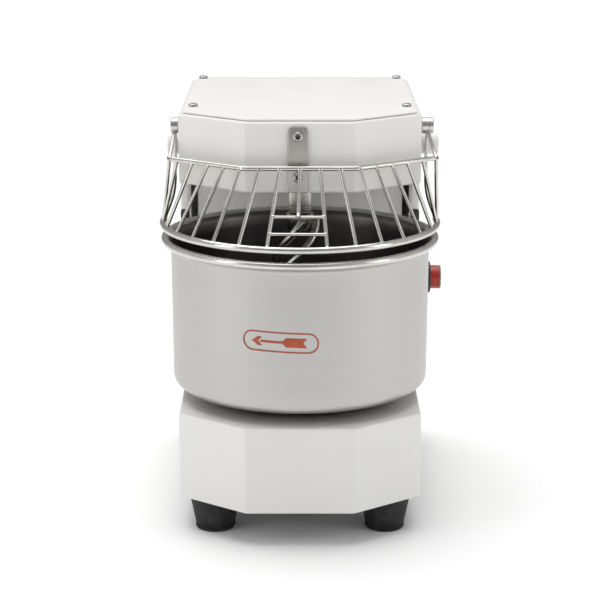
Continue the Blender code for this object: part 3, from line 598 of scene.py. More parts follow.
def apply_modifiers(obj):
    """Bakes an object's modifiers into its mesh."""
    if obj.name not in bpy.context.scene.collection.objects:
        into_scene(obj)
    graph = bpy.context.evaluated_depsgraph_get()
    mesh = bpy.data.meshes.new_from_object(obj.evaluated_get(graph))
    obj.modifiers.clear()
    obj.data = mesh


def carve(obj, cutters):
    """Cuts each cutter out of the piece and removes the cutters."""
    for cutter in cutters:
        into_scene(cutter)
        made = obj.modifiers.new("Cut", "BOOLEAN")
        made.operation = "DIFFERENCE"
        made.solver = "EXACT"
        made.object = cutter
    apply_modifiers(obj)
    for cutter in cutters:
        bpy.data.objects.remove(cutter, do_unlink=True)


def wire(name, run, radius, sides):
    """A round wire along (point, relative radius) pairs, as a curve object."""
    curve = bpy.data.curves.new(name, "CURVE")
    curve.dimensions = "3D"
    curve.bevel_depth = radius
    curve.bevel_resolution = sides // 2 - 2
    curve.use_fill_caps = True
    spline = curve.splines.new("POLY")
    spline.points.add(len(run) - 1)
    for point, (where, thick) in zip(spline.points, run):
        point.co = (*where, 1)
        point.radius = thick
    spline.use_smooth = True
    return bpy.data.objects.new(name, curve)


def welded_run(start, end, flare=1.5, reach=0.0035):
    """A straight wire that thickens into a weld at each end."""
    along = (end - start).normalized()
    steps = [(0.0, flare), (0.45, flare * 0.93), (0.8, 1.12), (1.2, 1.0)]
    run = [(start + along * reach * share, thick) for share, thick in steps]
    return run + [(end - along * reach * share, thick) for share, thick in reversed(steps)]


def smooth_path(points, per_span=8):
    """A Catmull-Rom curve through points."""
    points = [Vector(p) for p in points]
    ends = [points[0] * 2 - points[1]] + points + [points[-1] * 2 - points[-2]]
    path = []
    for i in range(1, len(ends) - 2):
        a, b, c, d = ends[i - 1 : i + 3]
        for k in range(per_span):
            t = k / per_span
            bend, twist = 2 * a - 5 * b + 4 * c - d, 3 * b - 3 * c + d - a
            path.append(0.5 * (2 * b + (c - a) * t + bend * t * t + twist * t**3))
    path.append(points[-1])
    return path


def relaxed(path, times):
    """The path with its bends eased, its ends kept."""
    for _ in range(times):
        between = [(a + b * 2 + c) / 4 for a, b, c in zip(path, path[1:], path[2:])]
        path = [path[0]] + between + [path[-1]]
    return path


def evenly(path, end_thick):
    """A run of one thickness but for its two ends."""
    run = [(point, 1.0) for point in path]
    run[0], run[-1] = (path[0], end_thick), (path[-1], end_thick)
    return run


def from_axis(x, y, z):
    """A place measured from the bowl's axis on the bench."""
    return Vector((AXIS.x + x, AXIS.y + y, z))


# Casing


def faceted(low, high, slant):
    """Corners of a casing's plan: flat front, a slanting face each side, straight sides, back."""
    x = AXIS.x
    return [
        (x - FLAT_HALF, low.y),
        (x + FLAT_HALF, low.y),
        (high.x, low.y + slant),
        (high.x, high.y),
        (low.x, high.y),
        (low.x, low.y + slant),
    ]


def base():
    """Folded base casing with bends at its edges and a turned-in hem below."""
    corners = faceted(BASE_LOW, BASE_HIGH, BASE_SLANT)
    radii = [BEND, BEND, BEND, SHARP_BEND, SHARP_BEND, BEND]
    levels = [(HEM, BASE_LOW.z + 0.0002)] + list(reversed(quarter(0, BASE_LOW.z, 0.0012, False)))
    levels += quarter(0, BASE_HIGH.z, TOP_BEND, True)
    shell = skin("base_shell", corners, radii, levels, None, (AXIS.x, AXIS.y, BASE_BORE))
    finished(solidify(shell, SHEET), "chassis", PAINT, ["base_housing"])


def head():
    """Folded head casing with a flange round its open top and a bored floor, and its lid."""
    corners = faceted(HEAD_LOW, HEAD_HIGH, HEAD_SLANT)
    radii = [BEND, BEND, BEND, BACK_CORNER, BACK_CORNER, BEND]
    levels = list(reversed(quarter(0, HEAD_LOW.z, 0.0025, False)))
    levels += quarter(0, HEAD_HIGH.z, 0.0030, True) + [(HEAD_FLANGE, HEAD_HIGH.z)]
    bore = ((SHAFT_LOW.x + SHAFT_HIGH.x) / 2, (SHAFT_LOW.y + SHAFT_HIGH.y) / 2, HEAD_BORE)
    shell = skin("head_shell", corners, radii, levels, bore, None)
    finished(solidify(shell, SHEET), "chassis", PAINT, ["head_housing"])
    inset = LID_LOW.x - HEAD_LOW.x
    bend, back_bend = BEND + inset, BACK_CORNER + 0.012
    lid_levels = [(inset + 0.0006, LID_LOW.z), (inset, LID_LOW.z + 0.0005)]
    lid_levels += quarter(inset, LID_HIGH.z, 0.0008, True, 4)
    lid_radii = [bend, bend, bend, back_bend, back_bend, bend]
    lid = skin("head_lid", corners, lid_radii, lid_levels, "fill", "fill")
    # The lid takes the paler paint: painted light on the top
    finished(lid, "chassis", TOP_LIT_LID_PAINT, ["head_cover"])


def column():
    """Column casing: a sheet bent round two back corners, with a window that the rear cover closes."""
    radii = [0.0004, 0.0004, BACK_CORNER, BACK_CORNER]
    levels = [(0, COLUMN_LOW.z), (0, COLUMN_HIGH.z)]
    shell = skin("column_shell", box_corners(COLUMN_LOW, COLUMN_HIGH), radii, levels, None, None, 10)
    bm = bmesh.new()
    bm.from_mesh(shell.data)
    front = [
        f for f in bm.faces
        if f.calc_center_median().y < COLUMN_LOW.y + 0.001 and abs(f.normal.y) > 0.7
    ]
    bmesh.ops.delete(bm, geom=front, context="FACES")
    bm.to_mesh(shell.data)
    bm.free()
    solidify(shell, SHEET)
    apply_modifiers(shell)
    across, through = about(AXIS.x, WINDOW_HALF), about(COLUMN_HIGH.y, CUT_PAST)
    carve(shell, [block("column_window", across, through, WINDOW_SPAN, 0.002, 0.006)])
    finished(bevelled(shell, 0.0005, 2), "chassis", PAINT, ["column_housing"])

    low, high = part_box("column_front_panel")
    gap, depth = SHEET + 0.0004, (COLUMN_LOW.y + 0.0002, low.y - 0.0001)
    across = (COLUMN_LOW.x + gap, COLUMN_HIGH.x - gap)
    flange = (BASE_HIGH.z - 0.0024, BASE_HIGH.z - 0.0008)
    # The face and its foot take the darkened white paint: painted shade under the head
    foot = block("column_face_foot", across, depth, flange, 0.0005, 0.0005, 3)
    finished(foot, "chassis", SHADED_FACE_PAINT)
    low.z = flange[0]
    face = soft_box("column_face", low, high, 0.0006, 0.0006, 3)
    finished(face, "chassis", SHADED_FACE_PAINT, ["column_front_panel"])


def louvre(name, centre, width, height, depth):
    """One pressed louvre: a half-round hood closed at its ends, open below."""
    rows, across = 9, 28
    points = []
    for r in range(rows):
        v = r / (rows - 1)
        for i in range(across):
            u = i / (across - 1)
            end = min(min(u, 1 - u) * width / (height * 0.9), 1.0)
            end = sqrt(1 - (1 - end) ** 2)
            bulge = depth * end * sin(pi / 2 * (1 - v)) if r < rows - 1 else 0.0
            across_by, up_by = (u - 0.5) * width, (v - 0.5) * height
            points.append(centre + Vector((across_by, bulge, up_by)))
    return mesh_object(name, points, strip_faces(across, rows, False))


def inlet_block(name, halves, depth, edge, steps):
    """A block centred on the inlet, by its half width and half height."""
    x, z = about(AXIS.x, halves[0]), about(INLET_Z, halves[1])
    return block(name, x, depth, z, 0.001, edge, steps)


def rear():
    """Rear cover with rolled edges, a bank of pressed louvres and the inlet's opening."""
    low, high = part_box("rear_cover")
    through, across = (low.y - CUT_PAST, high.y + CUT_PAST), about(AXIS.x, LOUVRE_HALF)
    cover = upright_plate("rear_panel", low, high, [0.006] * 4, 0.0006, False)
    heights = [LOUVRE_LOW + LOUVRE_STEP * n for n in range(LOUVRE_COUNT)]
    cutters = [inlet_block("inlet_opening", INLET_HOLE, through, 0.001, 5)]
    for n, z in enumerate(heights):
        cutters.append(block(f"slot_{n}", across, through, (z, z + LOUVRE_OPEN), 0.0008, 0.0018, 3))
    carve(cover, cutters)
    finished(cover, "chassis", PAINT, ["rear_cover"])
    for n, z in enumerate(heights):
        centre = Vector((AXIS.x, high.y - 0.0002, z + 0.0052))
        hood = louvre(f"rear_louvre_{n}", centre, 2 * LOUVRE_HALF + 0.004, 0.0072, LOUVRE_DEPTH)
        finished(solidify(hood, 0.0005, 0.0), "chassis", PAINT)


def inlet():
    """Inlet socket: a flanged shroud with rounded corners and three blades inside."""
    low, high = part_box("power_inlet")
    cover_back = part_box("rear_cover")[1].y
    flange_low = Vector((low.x, cover_back + 0.0002, low.z))
    flange = upright_plate("inlet_flange", flange_low, high, [0.004] * 4, 0.0006, False)
    depth, throat = (low.y, cover_back + 0.0004), (low.y + 0.004, high.y + CUT_PAST)
    shroud = inlet_block("inlet_shroud", INLET_SHROUD, depth, 0.003, 4)
    for piece, stands_for in ((flange, ["power_inlet"]), (shroud, ())):
        carve(piece, [inlet_block("inlet_throat", INLET_THROAT, throat, 0.003, 4)])
        finished(piece, "chassis", PLASTIC, stands_for)
    for n, (x, z) in enumerate(BLADES_AT):
        sides, ends = about(AXIS.x + x, BLADE_HALF), about(z, 2 * BLADE_HALF)
        depth = (low.y + BLADE_SHORTER, high.y - BLADE_SHORTER)
        blade = block(f"inlet_blade_{n}", sides, depth, ends, 0.0004, 0.0006, 3)
        finished(blade, "chassis", SCREW_STEEL)


def screw(node, way, sides=6, steps=36):
    """Button-head screw: a domed head with a chamfered socket, in the frame screw's place."""
    low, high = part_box(node)
    axis = Vector(way)
    along = max(range(3), key=lambda i: abs(axis[i]))
    height = (high - low)[along]
    radius = max((high - low)[i] for i in range(3) if i != along) / 2
    base_at = (low + high) / 2 - axis * height / 2
    socket = radius * 0.50
    turn = Vector((0, 0, 1)).rotation_difference(axis).to_matrix()
    half_side = pi / sides

    def ring(r, z, hexed=0.0):
        row = []
        for i in range(steps):
            a = 2 * pi * i / steps
            flat = cos(half_side) / cos(a % (2 * half_side) - half_side)
            reach = r * (1 - hexed + hexed * flat)
            row.append(turn @ Vector((reach * cos(a), reach * sin(a), z)) + base_at)
        return row

    rows = [ring(0.0002, 0), ring(radius * 0.96, 0), ring(radius * 0.99, height * 0.04)]
    for i in range(9):
        a = radians(90 * i / 8)
        dome_r = radius * (1 - 0.44 * (1 - cos(a)))
        rows.append(ring(dome_r, height * (0.12 + 0.88 * sin(a))))
    rows += [ring(socket * 1.06, height), ring(socket, height * 0.94, 1.0)]
    rows += [ring(socket * 0.98, height * 0.42, 1.0), ring(socket * 0.6, height * 0.34, 0.5)]
    rows.append(ring(0.0002, height * 0.28))
    points = [p for row in rows for p in row]
    head_mesh = mesh_object(node + "_head", points, strip_faces(steps, len(rows), True))
    finished(head_mesh, "chassis", SCREW_STEEL, [node], 40)
    # Faces inside the socket take the near-black steel: painted shade in the recess
    head_mesh.data.materials.append(SHADED_RECESS)
    for face in head_mesh.data.polygons:
        arm = face.center - base_at
        above_seat = axis.dot(arm) > height * 0.10
        if above_seat and (arm - axis * axis.dot(arm)).length < socket * 0.985:
            face.material_index = 1


def screws():
    """The lid's, the rear cover's and the strap's screws."""
    for n in range(1, 5):
        screw(f"head_cover_screw_{n}", (0, 0, 1))
        screw(f"rear_cover_screw_{n}", (0, 1, 0))
    for name in ("upper", "lower"):
        screw(f"front_strap_screw_{name}", (0, -1, 0))


def strap():
    """Brushed strap on the head's front, round at its upper corners, with softened edges."""
    low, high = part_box("front_strap")
    plate = upright_plate("strap_plate", low, high, [0.0015, 0.0015, 0.0055, 0.0055], 0.0005, True, 8)
    finished(plate, "chassis", STRAP_STEEL, ["front_strap"])


def foot_profile(top, height):
    """Half outline of a foot: square top, taper, a groove near the ground and a dished underside."""
    shoulder, groove_top, foot = height - 0.0014, 0.0066, FOOT_RADIUS
    profile = [(CORE, height), (top - 0.0012, height), (top - 0.0003, height - 0.0004)]
    profile.append((top, shoulder))
    for i in range(1, 7):
        share = i / 6
        radius = top + (foot - top) * share * 0.985
        profile.append((radius, shoulder - (shoulder - groove_top) * share))
    profile += [(foot + 0.0001, 0.0060), (foot - 0.0009, 0.0055), (foot - 0.0011, 0.0048)]
    profile += [(foot - 0.0009, 0.0041), (foot, 0.0036), (foot, 0.0020), (foot - 0.0005, 0.0008)]
    profile += [(foot - 0.0016, 0.0), (0.0120, 0.0), (0.0105, 0.0018), (0.0062, 0.0022)]
    return profile + [(0.0060, 0.0085), (CORE, 0.0085)]


def feet():
    """Tapered rubber feet, each with a washer up inside its underside."""
    washer = [(0.0052, 0.0072), (0.0052, 0.0084), (0.0022, 0.0084), (0.0022, 0.0072)]
    for end in ("front", "back"):
        for side in ("left", "right"):
            node = f"foot_{end}_{side}"
            low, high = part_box(node)
            middle = (low + high) / 2
            place = (middle.x, middle.y, low.z)
            profile = foot_profile((high.x - low.x) / 2, high.z - low.z)
            finished(lathe(node + "_rubber", profile, place, steps=72), "chassis", RUBBER, [node])
            ring = lathe(node + "_washer", washer, place, steps=32, closed=True)
            finished(ring, "chassis", SCREW_STEEL)


# Bowl


def bowl():
    """Spun bowl: rolled bead, a cove under it, a nearly straight wall and a rounded heel."""
    low = BOWL_LOW.z
    bead_r, bead_z = (BOWL_HIGH.x - BOWL_LOW.x) / 2 - BEAD, BOWL_HIGH.z - BEAD
    heel_at = (BOWL_FOOT - BOWL_HEEL, low + BOWL_HEEL)
    outside = arc((bead_r, bead_z), BEAD, 112, -93, 16)
    start_r, start_z = outside[-1]
    for i in range(1, 8):
        a = radians(90 * i / 7)
        radius = start_r - (start_r - BOWL_BODY) * sin(a)
        outside.append((radius, start_z - BOWL_COVE * (1 - cos(a))))
    wall_top = start_z - BOWL_COVE
    for i in range(1, 8):
        share = i / 8
        radius = BOWL_BODY + (BOWL_FOOT - BOWL_BODY) * share
        outside.append((radius, wall_top - (wall_top - heel_at[1]) * share))
    outside += arc(heel_at, BOWL_HEEL, 0, -90, 8) + [(0.060, low), (CORE, low)]
    inside = [(CORE, low + BOWL_WALL), (0.060, low + BOWL_WALL)]
    inside += arc(heel_at, BOWL_HEEL - BOWL_WALL, -90, 0, 8)
    inner = BOWL_BODY - BOWL_WALL
    inside += [(inner, bead_z - 0.016), (inner + 0.0006, bead_z - 0.006)]
    inside += [(BOWL_BODY + 0.0012, bead_z + 0.0006), (bead_r - BEAD * 0.55, bead_z + BEAD * 0.72)]
    shell = lathe("bowl_shell", outside + inside, (AXIS.x, AXIS.y, 0), steps=160, closed=True)
    finished(shell, "bowl", BOWL_STEEL, ["bowl"], 50)
    # Inward faces and the floor take the darkened steel, painted shade; the bead takes the polished
    # steel
    shell.data.materials.append(SHADED_BOWL_INSIDE)
    shell.data.materials.append(RIM_STEEL)
    for face in shell.data.polygons:
        centre = face.center - from_axis(0, 0, 0)
        faces_in = centre.xy.dot(face.normal.xy) < 0
        on_floor = face.normal.z > 0.5 and centre.z < low + 0.02
        if centre.z > bead_z - BEAD - 0.0002 and centre.xy.length > BOWL_BODY + 0.001:
            face.material_index = 2
        elif faces_in or on_floor:
            face.material_index = 1


def wrapped(name, outline):
    """A flat outline (across, up) made a thin film on the bowl's wall, facing -Y."""
    curve = bpy.data.curves.new(name, "CURVE")
    curve.dimensions = "2D"
    curve.fill_mode = "FRONT"
    for loop in outline:
        spline = curve.splines.new("POLY")
        spline.points.add(len(loop) - 1)
        for point, place in zip(spline.points, loop):
            point.co = (*place, 0, 1)
        spline.use_cyclic_u = True
    source = bpy.data.objects.new(name, curve)
    into_scene(source)
    graph = bpy.context.evaluated_depsgraph_get()
    mesh = bpy.data.meshes.new_from_object(source.evaluated_get(graph))
    bpy.data.objects.remove(source, do_unlink=True)
    bm = bmesh.new()
    bm.from_mesh(mesh)
    bmesh.ops.remove_doubles(bm, verts=bm.verts, dist=0.00001)
    for step in range(-9, 10):
        everything = bm.verts[:] + bm.edges[:] + bm.faces[:]
        bmesh.ops.bisect_plane(bm, geom=everything, plane_co=(step * 0.005, 0, 0), plane_no=(1, 0, 0))
    r = SIGN_WALL + SIGN_LIFT
    for vert in bm.verts:
        a = vert.co.x / SIGN_WALL
        vert.co = from_axis(r * sin(a), -r * cos(a), vert.co.y)
    bmesh.ops.recalc_face_normals(bm, faces=bm.faces)
    bm.to_mesh(mesh)
    bm.free()
    return bpy.data.objects.new(name, mesh)


def stadium(half, radius, steps=20):
    """A long round-ended outline."""
    return arc((half, 0), radius, -90, 90, steps) + arc((-half, 0), radius, 90, 270, steps)


def turning_sign():
    """The printed arrow that shows which way the bowl turns, inside a round-ended frame."""
    half, radius, line = 0.0272, 0.0101, 0.0014
    tip = [(-0.0281, 0), (-0.0221, 0.0043), (-0.0178, 0.0043)]
    tip += [(-0.0221, 0), (-0.0178, -0.0043), (-0.0221, -0.0043)]
    upper = [(-0.0188, 0.0012), (0.0022, 0.0012), (0.0058, 0.0046), (0.0258, 0.0046)]
    lower = [(x, -y) for x, y in reversed(upper)]
    shaft = [(-0.0200, 0.0)] + upper + [(0.0222, 0.0)] + lower
    for name, loops in (
        ("frame", [stadium(half, radius), stadium(half, radius - line)]),
        ("arrow_tip", [tip]),
        ("arrow_shaft", [shaft]),
    ):
        leaning = [[(SIGN_X + x, SIGN_Z + y + x * SIGN_LEAN) for x, y in loop] for loop in loops]
        finished(solidify(wrapped(f"sign_{name}", leaning), 0.00010, 1.0), "bowl", INK)


def turntable():
    """Dark turntable under the bowl, with a stepped edge."""
    low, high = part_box("turntable")
    middle = (low + high) / 2
    radius, top = (high.x - low.x) / 2, high.z - low.z
    profile = [(CORE, top), (radius - 0.0008, top), (radius - 0.0002, top - 0.0003)]
    profile += [(radius, top - 0.001), (radius, top - 0.005), (radius - 0.0006, top - 0.0058)]
    profile += [(0.0905, top - 0.0078), (0.0895, top - 0.008), (0.031, top - 0.008)]
    profile += [(0.030, top - 0.0085), (0.030, 0), (CORE, 0)]
    disc = lathe("turntable_disc", profile, (middle.x, middle.y, low.z), steps=120)
    finished(disc, "bowl", PLASTIC, ["turntable"])


# Spiral


def hook_strand(share, lead_deg):
    """A point on a strand of the hook, from its top (0) to its foot (1), about the shaft's axis."""
    angle = radians(-6 - lead_deg - HOOK_TWIST_DEG * share)
    radius = 0.0164 + 0.0300 * share + 0.0206 * max(share - 0.25, 0) ** 2
    z = HOOK_TOP + (HOOK_FOOT - HOOK_TOP) * share
    return Vector((radius * cos(angle), radius * sin(angle), z))


def spiral():
    """Kneading hook, one bar bent double and twisted, with its collar and the shaft above."""
    low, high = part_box("spiral_shaft")
    shaft_at = Vector(((low.x + high.x) / 2, (low.y + high.y) / 2, 0))
    radius, top, step = (high.x - low.x) / 2, high.z, SHAFT_STEP_Z
    profile = [(CORE, top), (JOURNAL - 0.0006, top), (JOURNAL, top - 0.0006), (JOURNAL, step)]
    profile += [(radius - 0.0004, step), (radius, step - 0.0004)]
    for z in SHAFT_GROOVES:
        profile += [(radius, z + 0.0008), (radius - 0.0006, z + 0.0004)]
        profile += [(radius - 0.0006, z), (radius, z - 0.0004)]
    profile += [(radius, low.z + 0.001), (radius - 0.001, low.z), (CORE, low.z)]
    turned = lathe("spiral_shaft_turned", profile, shaft_at, steps=72)
    finished(turned, "spiral", SHAFT_STEEL, ["spiral_shaft"], 30)

    steps, across = 120, 24
    path = [hook_strand(i / steps, HOOK_LEAD_DEG) for i in range(steps + 1)]
    path += [hook_strand(1, HOOK_LEAD_DEG * (1 - i / across)) for i in range(1, across)]
    path += [hook_strand(1 - i / steps, 0) for i in range(steps + 1)]
    bar = evenly([point + shaft_at for point in relaxed(path, 30)], 0.93)
    finished(wire("spiral_bar", bar, HOOK_BAR, 28), "spiral", HOOK_STEEL, ["spiral_hook"])
    top, foot, reach = low.z - 0.0004, HOOK_COLLAR_LOW, HOOK_COLLAR
    collar = [(CORE, top), (reach - 0.0009, top), (reach - 0.0002, top - 0.0006)]
    collar += [(reach, top - 0.0014), (reach, foot + 0.0022), (reach - 0.0006, foot + 0.0008)]
    collar += [(reach - 0.0020, foot), (CORE, foot)]
    finished(lathe("spiral_collar", collar, shaft_at, steps=72), "spiral", SHAFT_STEEL, (), 30)
    for i, lead in enumerate((0, HOOK_LEAD_DEG)):
        seam = []
        for share in (0.0, 0.018, 0.036, 0.054, 0.072):
            point = hook_strand(share, lead)
            inward = Vector((point.x, point.y, 0)).normalized() * -0.0026
            seam.append((point + inward + shaft_at, 0.75 + 0.25 * cos(share * 70)))
        finished(wire(f"spiral_weld_{i}", seam, HOOK_BAR * 0.9, 14), "spiral", WELD_STEEL)


# Guard


def top_wire_point(distance):
    """A point on the guard's top wire, by its distance along the wire from the middle."""
    side = copysign(1, distance)
    far = abs(distance)
    if far <= TOP_WIRE_FLAT:
        return from_axis(distance, TOP_WIRE_FRONT, TOP_WIRE_Z)
    bend = Vector((TOP_WIRE_FLAT, TOP_WIRE_FRONT))
    point = bend + (Vector(TOP_WIRE_END) - bend).normalized() * (far - TOP_WIRE_FLAT)
    return from_axis(side * point.x, point.y, TOP_WIRE_Z)


def ring_point(degrees):
    """A point on the guard's ring, by its angle from the front."""
    a = radians(degrees)
    return from_axis(RING_RADIUS * sin(a), RING_Y - RING_RADIUS * cos(a), RING_Z)


def guard():
    """Welded wire guard: ring, top wire, rods, crossbars, posts, arms and hubs."""
    round_it = [ring_point(-RING_END_DEG + 2 * RING_END_DEG * i / 140) for i in range(141)]
    ring = evenly(round_it, 0.72)
    ring[1], ring[-2] = (round_it[1], 0.95), (round_it[-2], 0.95)
    finished(wire("guard_ring", ring, RING_WIRE, 24), "guard", WIRE_STEEL, ["guard"])

    bend = Vector((TOP_WIRE_FLAT, TOP_WIRE_FRONT))
    half = (Vector(TOP_WIRE_END) - bend).length + TOP_WIRE_FLAT
    wire_ends = {-1: half - LEFT_WIRE_SHORTER, 1: half}
    span = wire_ends[-1] + wire_ends[1]
    top = relaxed([top_wire_point(-wire_ends[-1] + span * i / 160) for i in range(161)], 3)
    finished(wire("guard_top_wire", evenly(top, 0.6), TOP_WIRE, 18), "guard", WIRE_STEEL)

    def straight(name, start, end, radius):
        finished(wire(name, welded_run(start, end), radius, 14), "guard", WIRE_STEEL)

    rods = {}
    for n in range(-ROD_COUNT_HALF, ROD_COUNT_HALF + 1):
        rods[n] = (top_wire_point(n * ROD_STEP), ring_point(n * ROD_STEP_DEG + ROD_LEAN_DEG))
    for n, (upper, lower) in rods.items():
        if n == 0:
            lower = upper.lerp(lower, CROSSBARS[0])
        side = "l" if n < 0 else "r" if n > 0 else "m"
        straight(f"guard_rod_{side}{abs(n)}", upper, lower, ROD_WIRE)
    for i, share in enumerate(CROSSBARS):
        left, right = (rods[n][0].lerp(rods[n][1], share) for n in (-1, 1))
        straight(f"guard_crossbar_{i}", left, right, CROSSBAR_WIRE)

    for side, name in SIDES:
        start, length = BODY_HALF + 0.0004, HUB_LENGTHS[side]
        under = from_axis(side * (start + length / 2), PIVOT_Y, PIVOT_Z - HUB_RADIUS * 0.5)
        wire_end = top_wire_point(side * wire_ends[side])
        arm_foot = ring_point(side * ARM_FOOT_DEG)
        bends = [
            under.lerp(arm_foot, share) + Vector((side * inward, back, 0))
            for share, (inward, back) in ARM_BOWS.items()
        ]
        arm = [(p, 1.0) for p in smooth_path([under, *bends, arm_foot])]
        arm[-1] = (arm_foot, 1.4)
        finished(wire(f"guard_arm_{name}", arm, ARM_WIRE, 14), "guard", WIRE_STEEL)
        straight(f"guard_stay_{name}", under, wire_end, ARM_WIRE)
        straight(f"guard_post_{name}", wire_end, ring_point(side * POST_DEG), ARM_WIRE)
        r = HUB_RADIUS
        profile = [(0.0038, 0.0), (r - 0.0008, 0.0), (r, 0.0008), (r, length * 0.52)]
        profile += [(r - 0.0006, length * 0.55), (r - 0.0006, length * 0.62), (r, length * 0.65)]
        profile += [(r, length - 0.0010), (r - 0.0010, length), (0.0046, length)]
        profile += [(0.0040, length - 0.0012), (CORE, length - 0.0014)]
        profile += [(CORE, length - 0.0030), (0.0038, length - 0.0030)]
        place = from_axis(side * start, PIVOT_Y, PIVOT_Z)
        hub = lathe(f"guard_hub_{name}", profile, place, (side, 0, 0), 56, True)
        finished(hub, "guard", HUB_STEEL)


def guard_stops():
    """White nylon buffers, each held by a screw in a counterbore."""
    screw_head = [(CORE, 0.0034), (0.0020, 0.0033), (0.0038, 0.0026), (0.0044, 0.0012), (0.0044, 0)]
    for side, name in SIDES:
        low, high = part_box(f"guard_stop_{name}")
        r, length = (high.z - low.z) / 2, high.x - low.x
        start = (low + high) / 2
        start.x = low.x if side > 0 else high.x
        profile = [(CORE, 0), (r - 0.0006, 0), (r, 0.0006), (r, length - 0.0018)]
        profile += [(r - 0.0005, length - 0.0006), (r - 0.0018, length), (0.0058, length)]
        profile += [(0.0054, length - 0.0004), (0.0054, length - 0.0050), (CORE, length - 0.0050)]
        stop = lathe(f"guard_stop_{name}_turned", profile, start, (side, 0, 0), 64)
        finished(stop, "chassis", NYLON, [f"guard_stop_{name}"])
        seat = start + Vector((side * (length - 0.0049), 0, 0))
        head_mesh = lathe(f"guard_stop_{name}_screw", screw_head, seat, (side, 0, 0), 32)
        finished(head_mesh, "chassis", SCREW_STEEL)


# Side panels and switches


def side_panels():
    """White covers and black louvred panels on the column's sides."""
    for side, name in SIDES:
        low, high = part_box(f"side_cover_{name}")
        cover = soft_box(f"side_cover_{name}_shell", low, high, 0.0030, 0.0030, 6)
        finished(cover, "chassis", PAINT, [f"side_cover_{name}"])
        low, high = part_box(f"side_vent_{name}")
        out = AXIS.x + side * PANEL_OUT
        if side > 0:
            high.x = out
        panel = soft_box(f"side_vent_{name}_shell", low, high, 0.0028, 0.0028, 5)
        inward = sorted((out - side * VENT_DEPTH, out + side * CUT_PAST))
        along = (low.y + VENT_MARGIN, high.y - VENT_MARGIN)
        slots = []
        for n in range(VENT_COUNT):
            z = low.z + VENT_LOW + n * VENT_STEP
            upward = (z, z + VENT_OPEN)
            slots.append(block(f"vent_slot_{n}", inward, along, upward, 0.0006, 0.0016, 3))
        carve(panel, slots)
        finished(panel, "chassis", PLASTIC, [f"side_vent_{name}"])


def switches():
    """Bezels, collars and the two push buttons on the right-hand panel."""
    for name, finish, cap_finish in (("stop", RED, CAP_RING), ("start", GREEN, GREEN)):
        low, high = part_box(f"{name}_bezel")
        middle = (low + high) / 2
        radius, thick = (high.z - low.z) / 2, high.x - low.x
        button_low, button_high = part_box(f"{name}_button")
        r, length = (button_high.z - button_low.z) / 2, button_high.x - button_low.x
        bore = r + 0.0006

        def turned(piece, profile, x, steps, closed=False):
            return lathe(f"{name}_{piece}", profile, (x, middle.y, middle.z), (1, 0, 0), steps, closed)

        profile = [(bore, thick - 0.0004), (bore + 0.0005, thick), (radius - 0.0014, thick)]
        profile += [(radius - 0.0003, thick - 0.0007), (radius, thick - 0.0016), (radius, 0.0002)]
        profile += [(radius - 0.0002, 0), (bore, 0)]
        bezel = turned("bezel_ring", profile, low.x, 72, True)
        finished(bezel, "chassis", PLASTIC, [f"{name}_bezel"])
        root = AXIS.x + PANEL_OUT - 0.0004
        reach = low.x - 0.0004 - root
        if reach > 0.002:
            profile = [(bore, reach), (radius - 0.0014, reach), (radius - 0.0010, reach - 0.0004)]
            profile += [(radius - 0.0010, 0.0016), (radius + 0.0004, 0.0), (bore, 0.0)]
            finished(turned("collar", profile, root, 64, True), "chassis", PLASTIC)
        cap_at = length - 0.0022
        profile = [(CORE, 0), (r - 0.0004, 0), (r, 0.0004), (r, cap_at - 0.0002)]
        profile += [(r - 0.0008, cap_at), (CORE, cap_at)]
        body = turned("button_body", profile, button_low.x, 64)
        finished(body, f"{name}_button", finish, [f"{name}_button"])
        profile = [(CORE, cap_at + 0.0002), (r - 0.0006, cap_at + 0.0002)]
        profile += [(r - 0.0001, cap_at + 0.0008), (r - 0.0001, length - 0.0006)]
        profile += [(r - 0.0009, length), (r - 0.0030, length)]
        profile += [(r - 0.0042, length - 0.0007), (CORE, length - 0.0012)]
        cap = turned("button_cap", profile, button_low.x, 64)
        finished(cap, f"{name}_button", cap_finish)


# Inner parts

BY_SLOT = {
    "white_paint": PAINT,
    "stainless": SCREW_STEEL,
    "plain_steel": DRIVE_STEEL,
    "black_rubber": RUBBER,
    "black_plastic": PLASTIC,
    "white_nylon": NYLON,
    "cast_grey": MOTOR_PAINT,
    "stop_red": RED,
    "start_green": GREEN,
}


def carried_over():
    """Gives every frame node its finish by its slot, for those that stay visible."""
    slots = {part["node"]: part["material_slot"] for part in frame["record"]["subparts"]}
    for name, obj in frame["nodes"].items():
        obj.data.materials.clear()
        obj.data.materials.append(BY_SLOT[slots[name]])


# Studio


def area_light(name, at, power):
    """A tall soft box that faces the middle of the machine."""
    light = bpy.data.lights.new(name, "AREA")
    light.shape = "RECTANGLE"
    light.size, light.size_y = 0.5, 1.3
    light.energy = power
    obj = bpy.data.objects.new(name, light)
    obj.location = at
    obj.rotation_euler = (from_axis(0, 0, 0.25) - at).to_track_quat("-Z", "Y").to_euler()
    into_scene(obj)


def pale_floor():
    """A wide plain floor."""
    mesh = bpy.data.meshes.new("floor")
    corners = [(x * FLOOR_REACH, y * FLOOR_REACH, 0) for x, y in ((-1, -1), (1, -1), (1, 1), (-1, 1))]
    mesh.from_pydata(corners, [], [(0, 1, 2, 3)])
    floor = bpy.data.objects.new("floor", mesh)
    into_scene(floor)
    look = Look("pale_floor", (0.96, 0.96, 0.96), 0.6)
    look.set("Specular IOR Level", 0.1)
    mesh.materials.append(look.material)


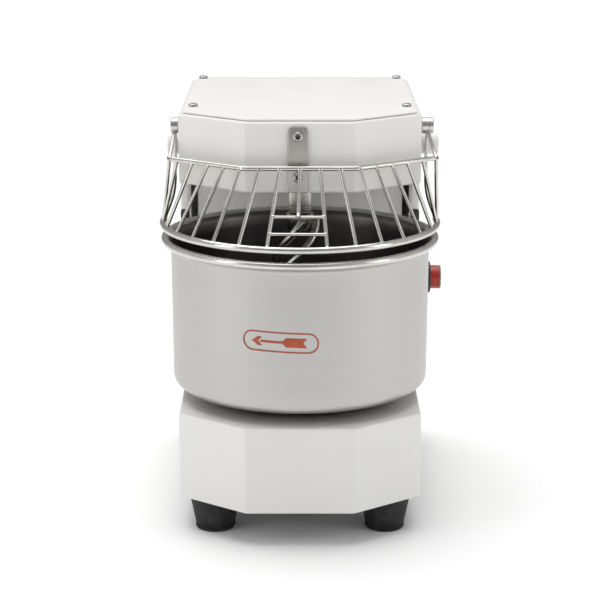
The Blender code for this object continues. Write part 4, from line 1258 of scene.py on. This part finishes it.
def surroundings():
    """White walls: brighter to the sides and overhead, darker in front, as in a light tent."""
    world = bpy.data.worlds.new("studio")
    bpy.context.scene.world = world
    world.use_nodes = True
    made = Nodes(world.node_tree)
    background = made.tree.nodes["Background"]
    background.inputs["Strength"].default_value = 0.56
    split = made.node("SeparateXYZ")
    made.link(made.node("TexCoord").outputs["Generated"], split.inputs["Vector"])
    sideways = made.node("Math", operation="ABSOLUTE")
    made.link(split.outputs["X"], sideways.inputs[0])
    across = made.ramp(sideways.outputs[0], [(0.0, 0.34), (0.45, 0.50), (0.85, 0.95)])
    upward = made.ramp(split.outputs["Z"], [(0.0, 0.0), (0.35, 0.18), (0.95, 0.45)])
    pick = made.node("Mix", data_type="RGBA")
    made.link(made.node("LightPath").outputs["Is Camera Ray"], pick.inputs["Factor"])
    made.link(made.blend("ADD", across, upward), pick.inputs[6])
    pick.inputs[7].default_value = (2.0, 2.0, 2.0, 1)
    made.link(pick.outputs[2], background.inputs["Color"])


def studio():
    """A pale floor, white surroundings and three soft lights."""
    pale_floor()
    surroundings()
    sun = bpy.data.lights.new("top_sun", "SUN")
    sun.energy = 2.2
    sun.angle = radians(60)
    lamp = bpy.data.objects.new("top_sun", sun)
    lamp.rotation_euler = (radians(-14), radians(-6), 0)
    into_scene(lamp)
    area_light("left_light", from_axis(-1.7, -0.9, 0.9), 5)
    area_light("right_light", from_axis(1.7, -0.7, 0.9), 4)
    bpy.context.scene.view_settings.view_transform = "Standard"


def camera():
    """A level camera in front of the machine, tilted down to it."""
    data = bpy.data.cameras.new("camera")
    data.sensor_width = SENSOR
    data.lens = FOCAL_PER_WIDTH * SENSOR
    data.clip_end = 60
    obj = bpy.data.objects.new("camera", data)
    obj.location = from_axis(0, -CAMERA_BACK, CAMERA_HEIGHT)
    obj.rotation_euler = (radians(90 - CAMERA_TILT_DEG), 0, 0)
    into_scene(obj)
    bpy.context.scene.camera = obj


camera()
studio()
carried_over()
base()
head()
column()
rear()
inlet()
screws()
strap()
feet()
bowl()
turning_sign()
turntable()
spiral()
guard()
guard_stops()
side_panels()
switches()
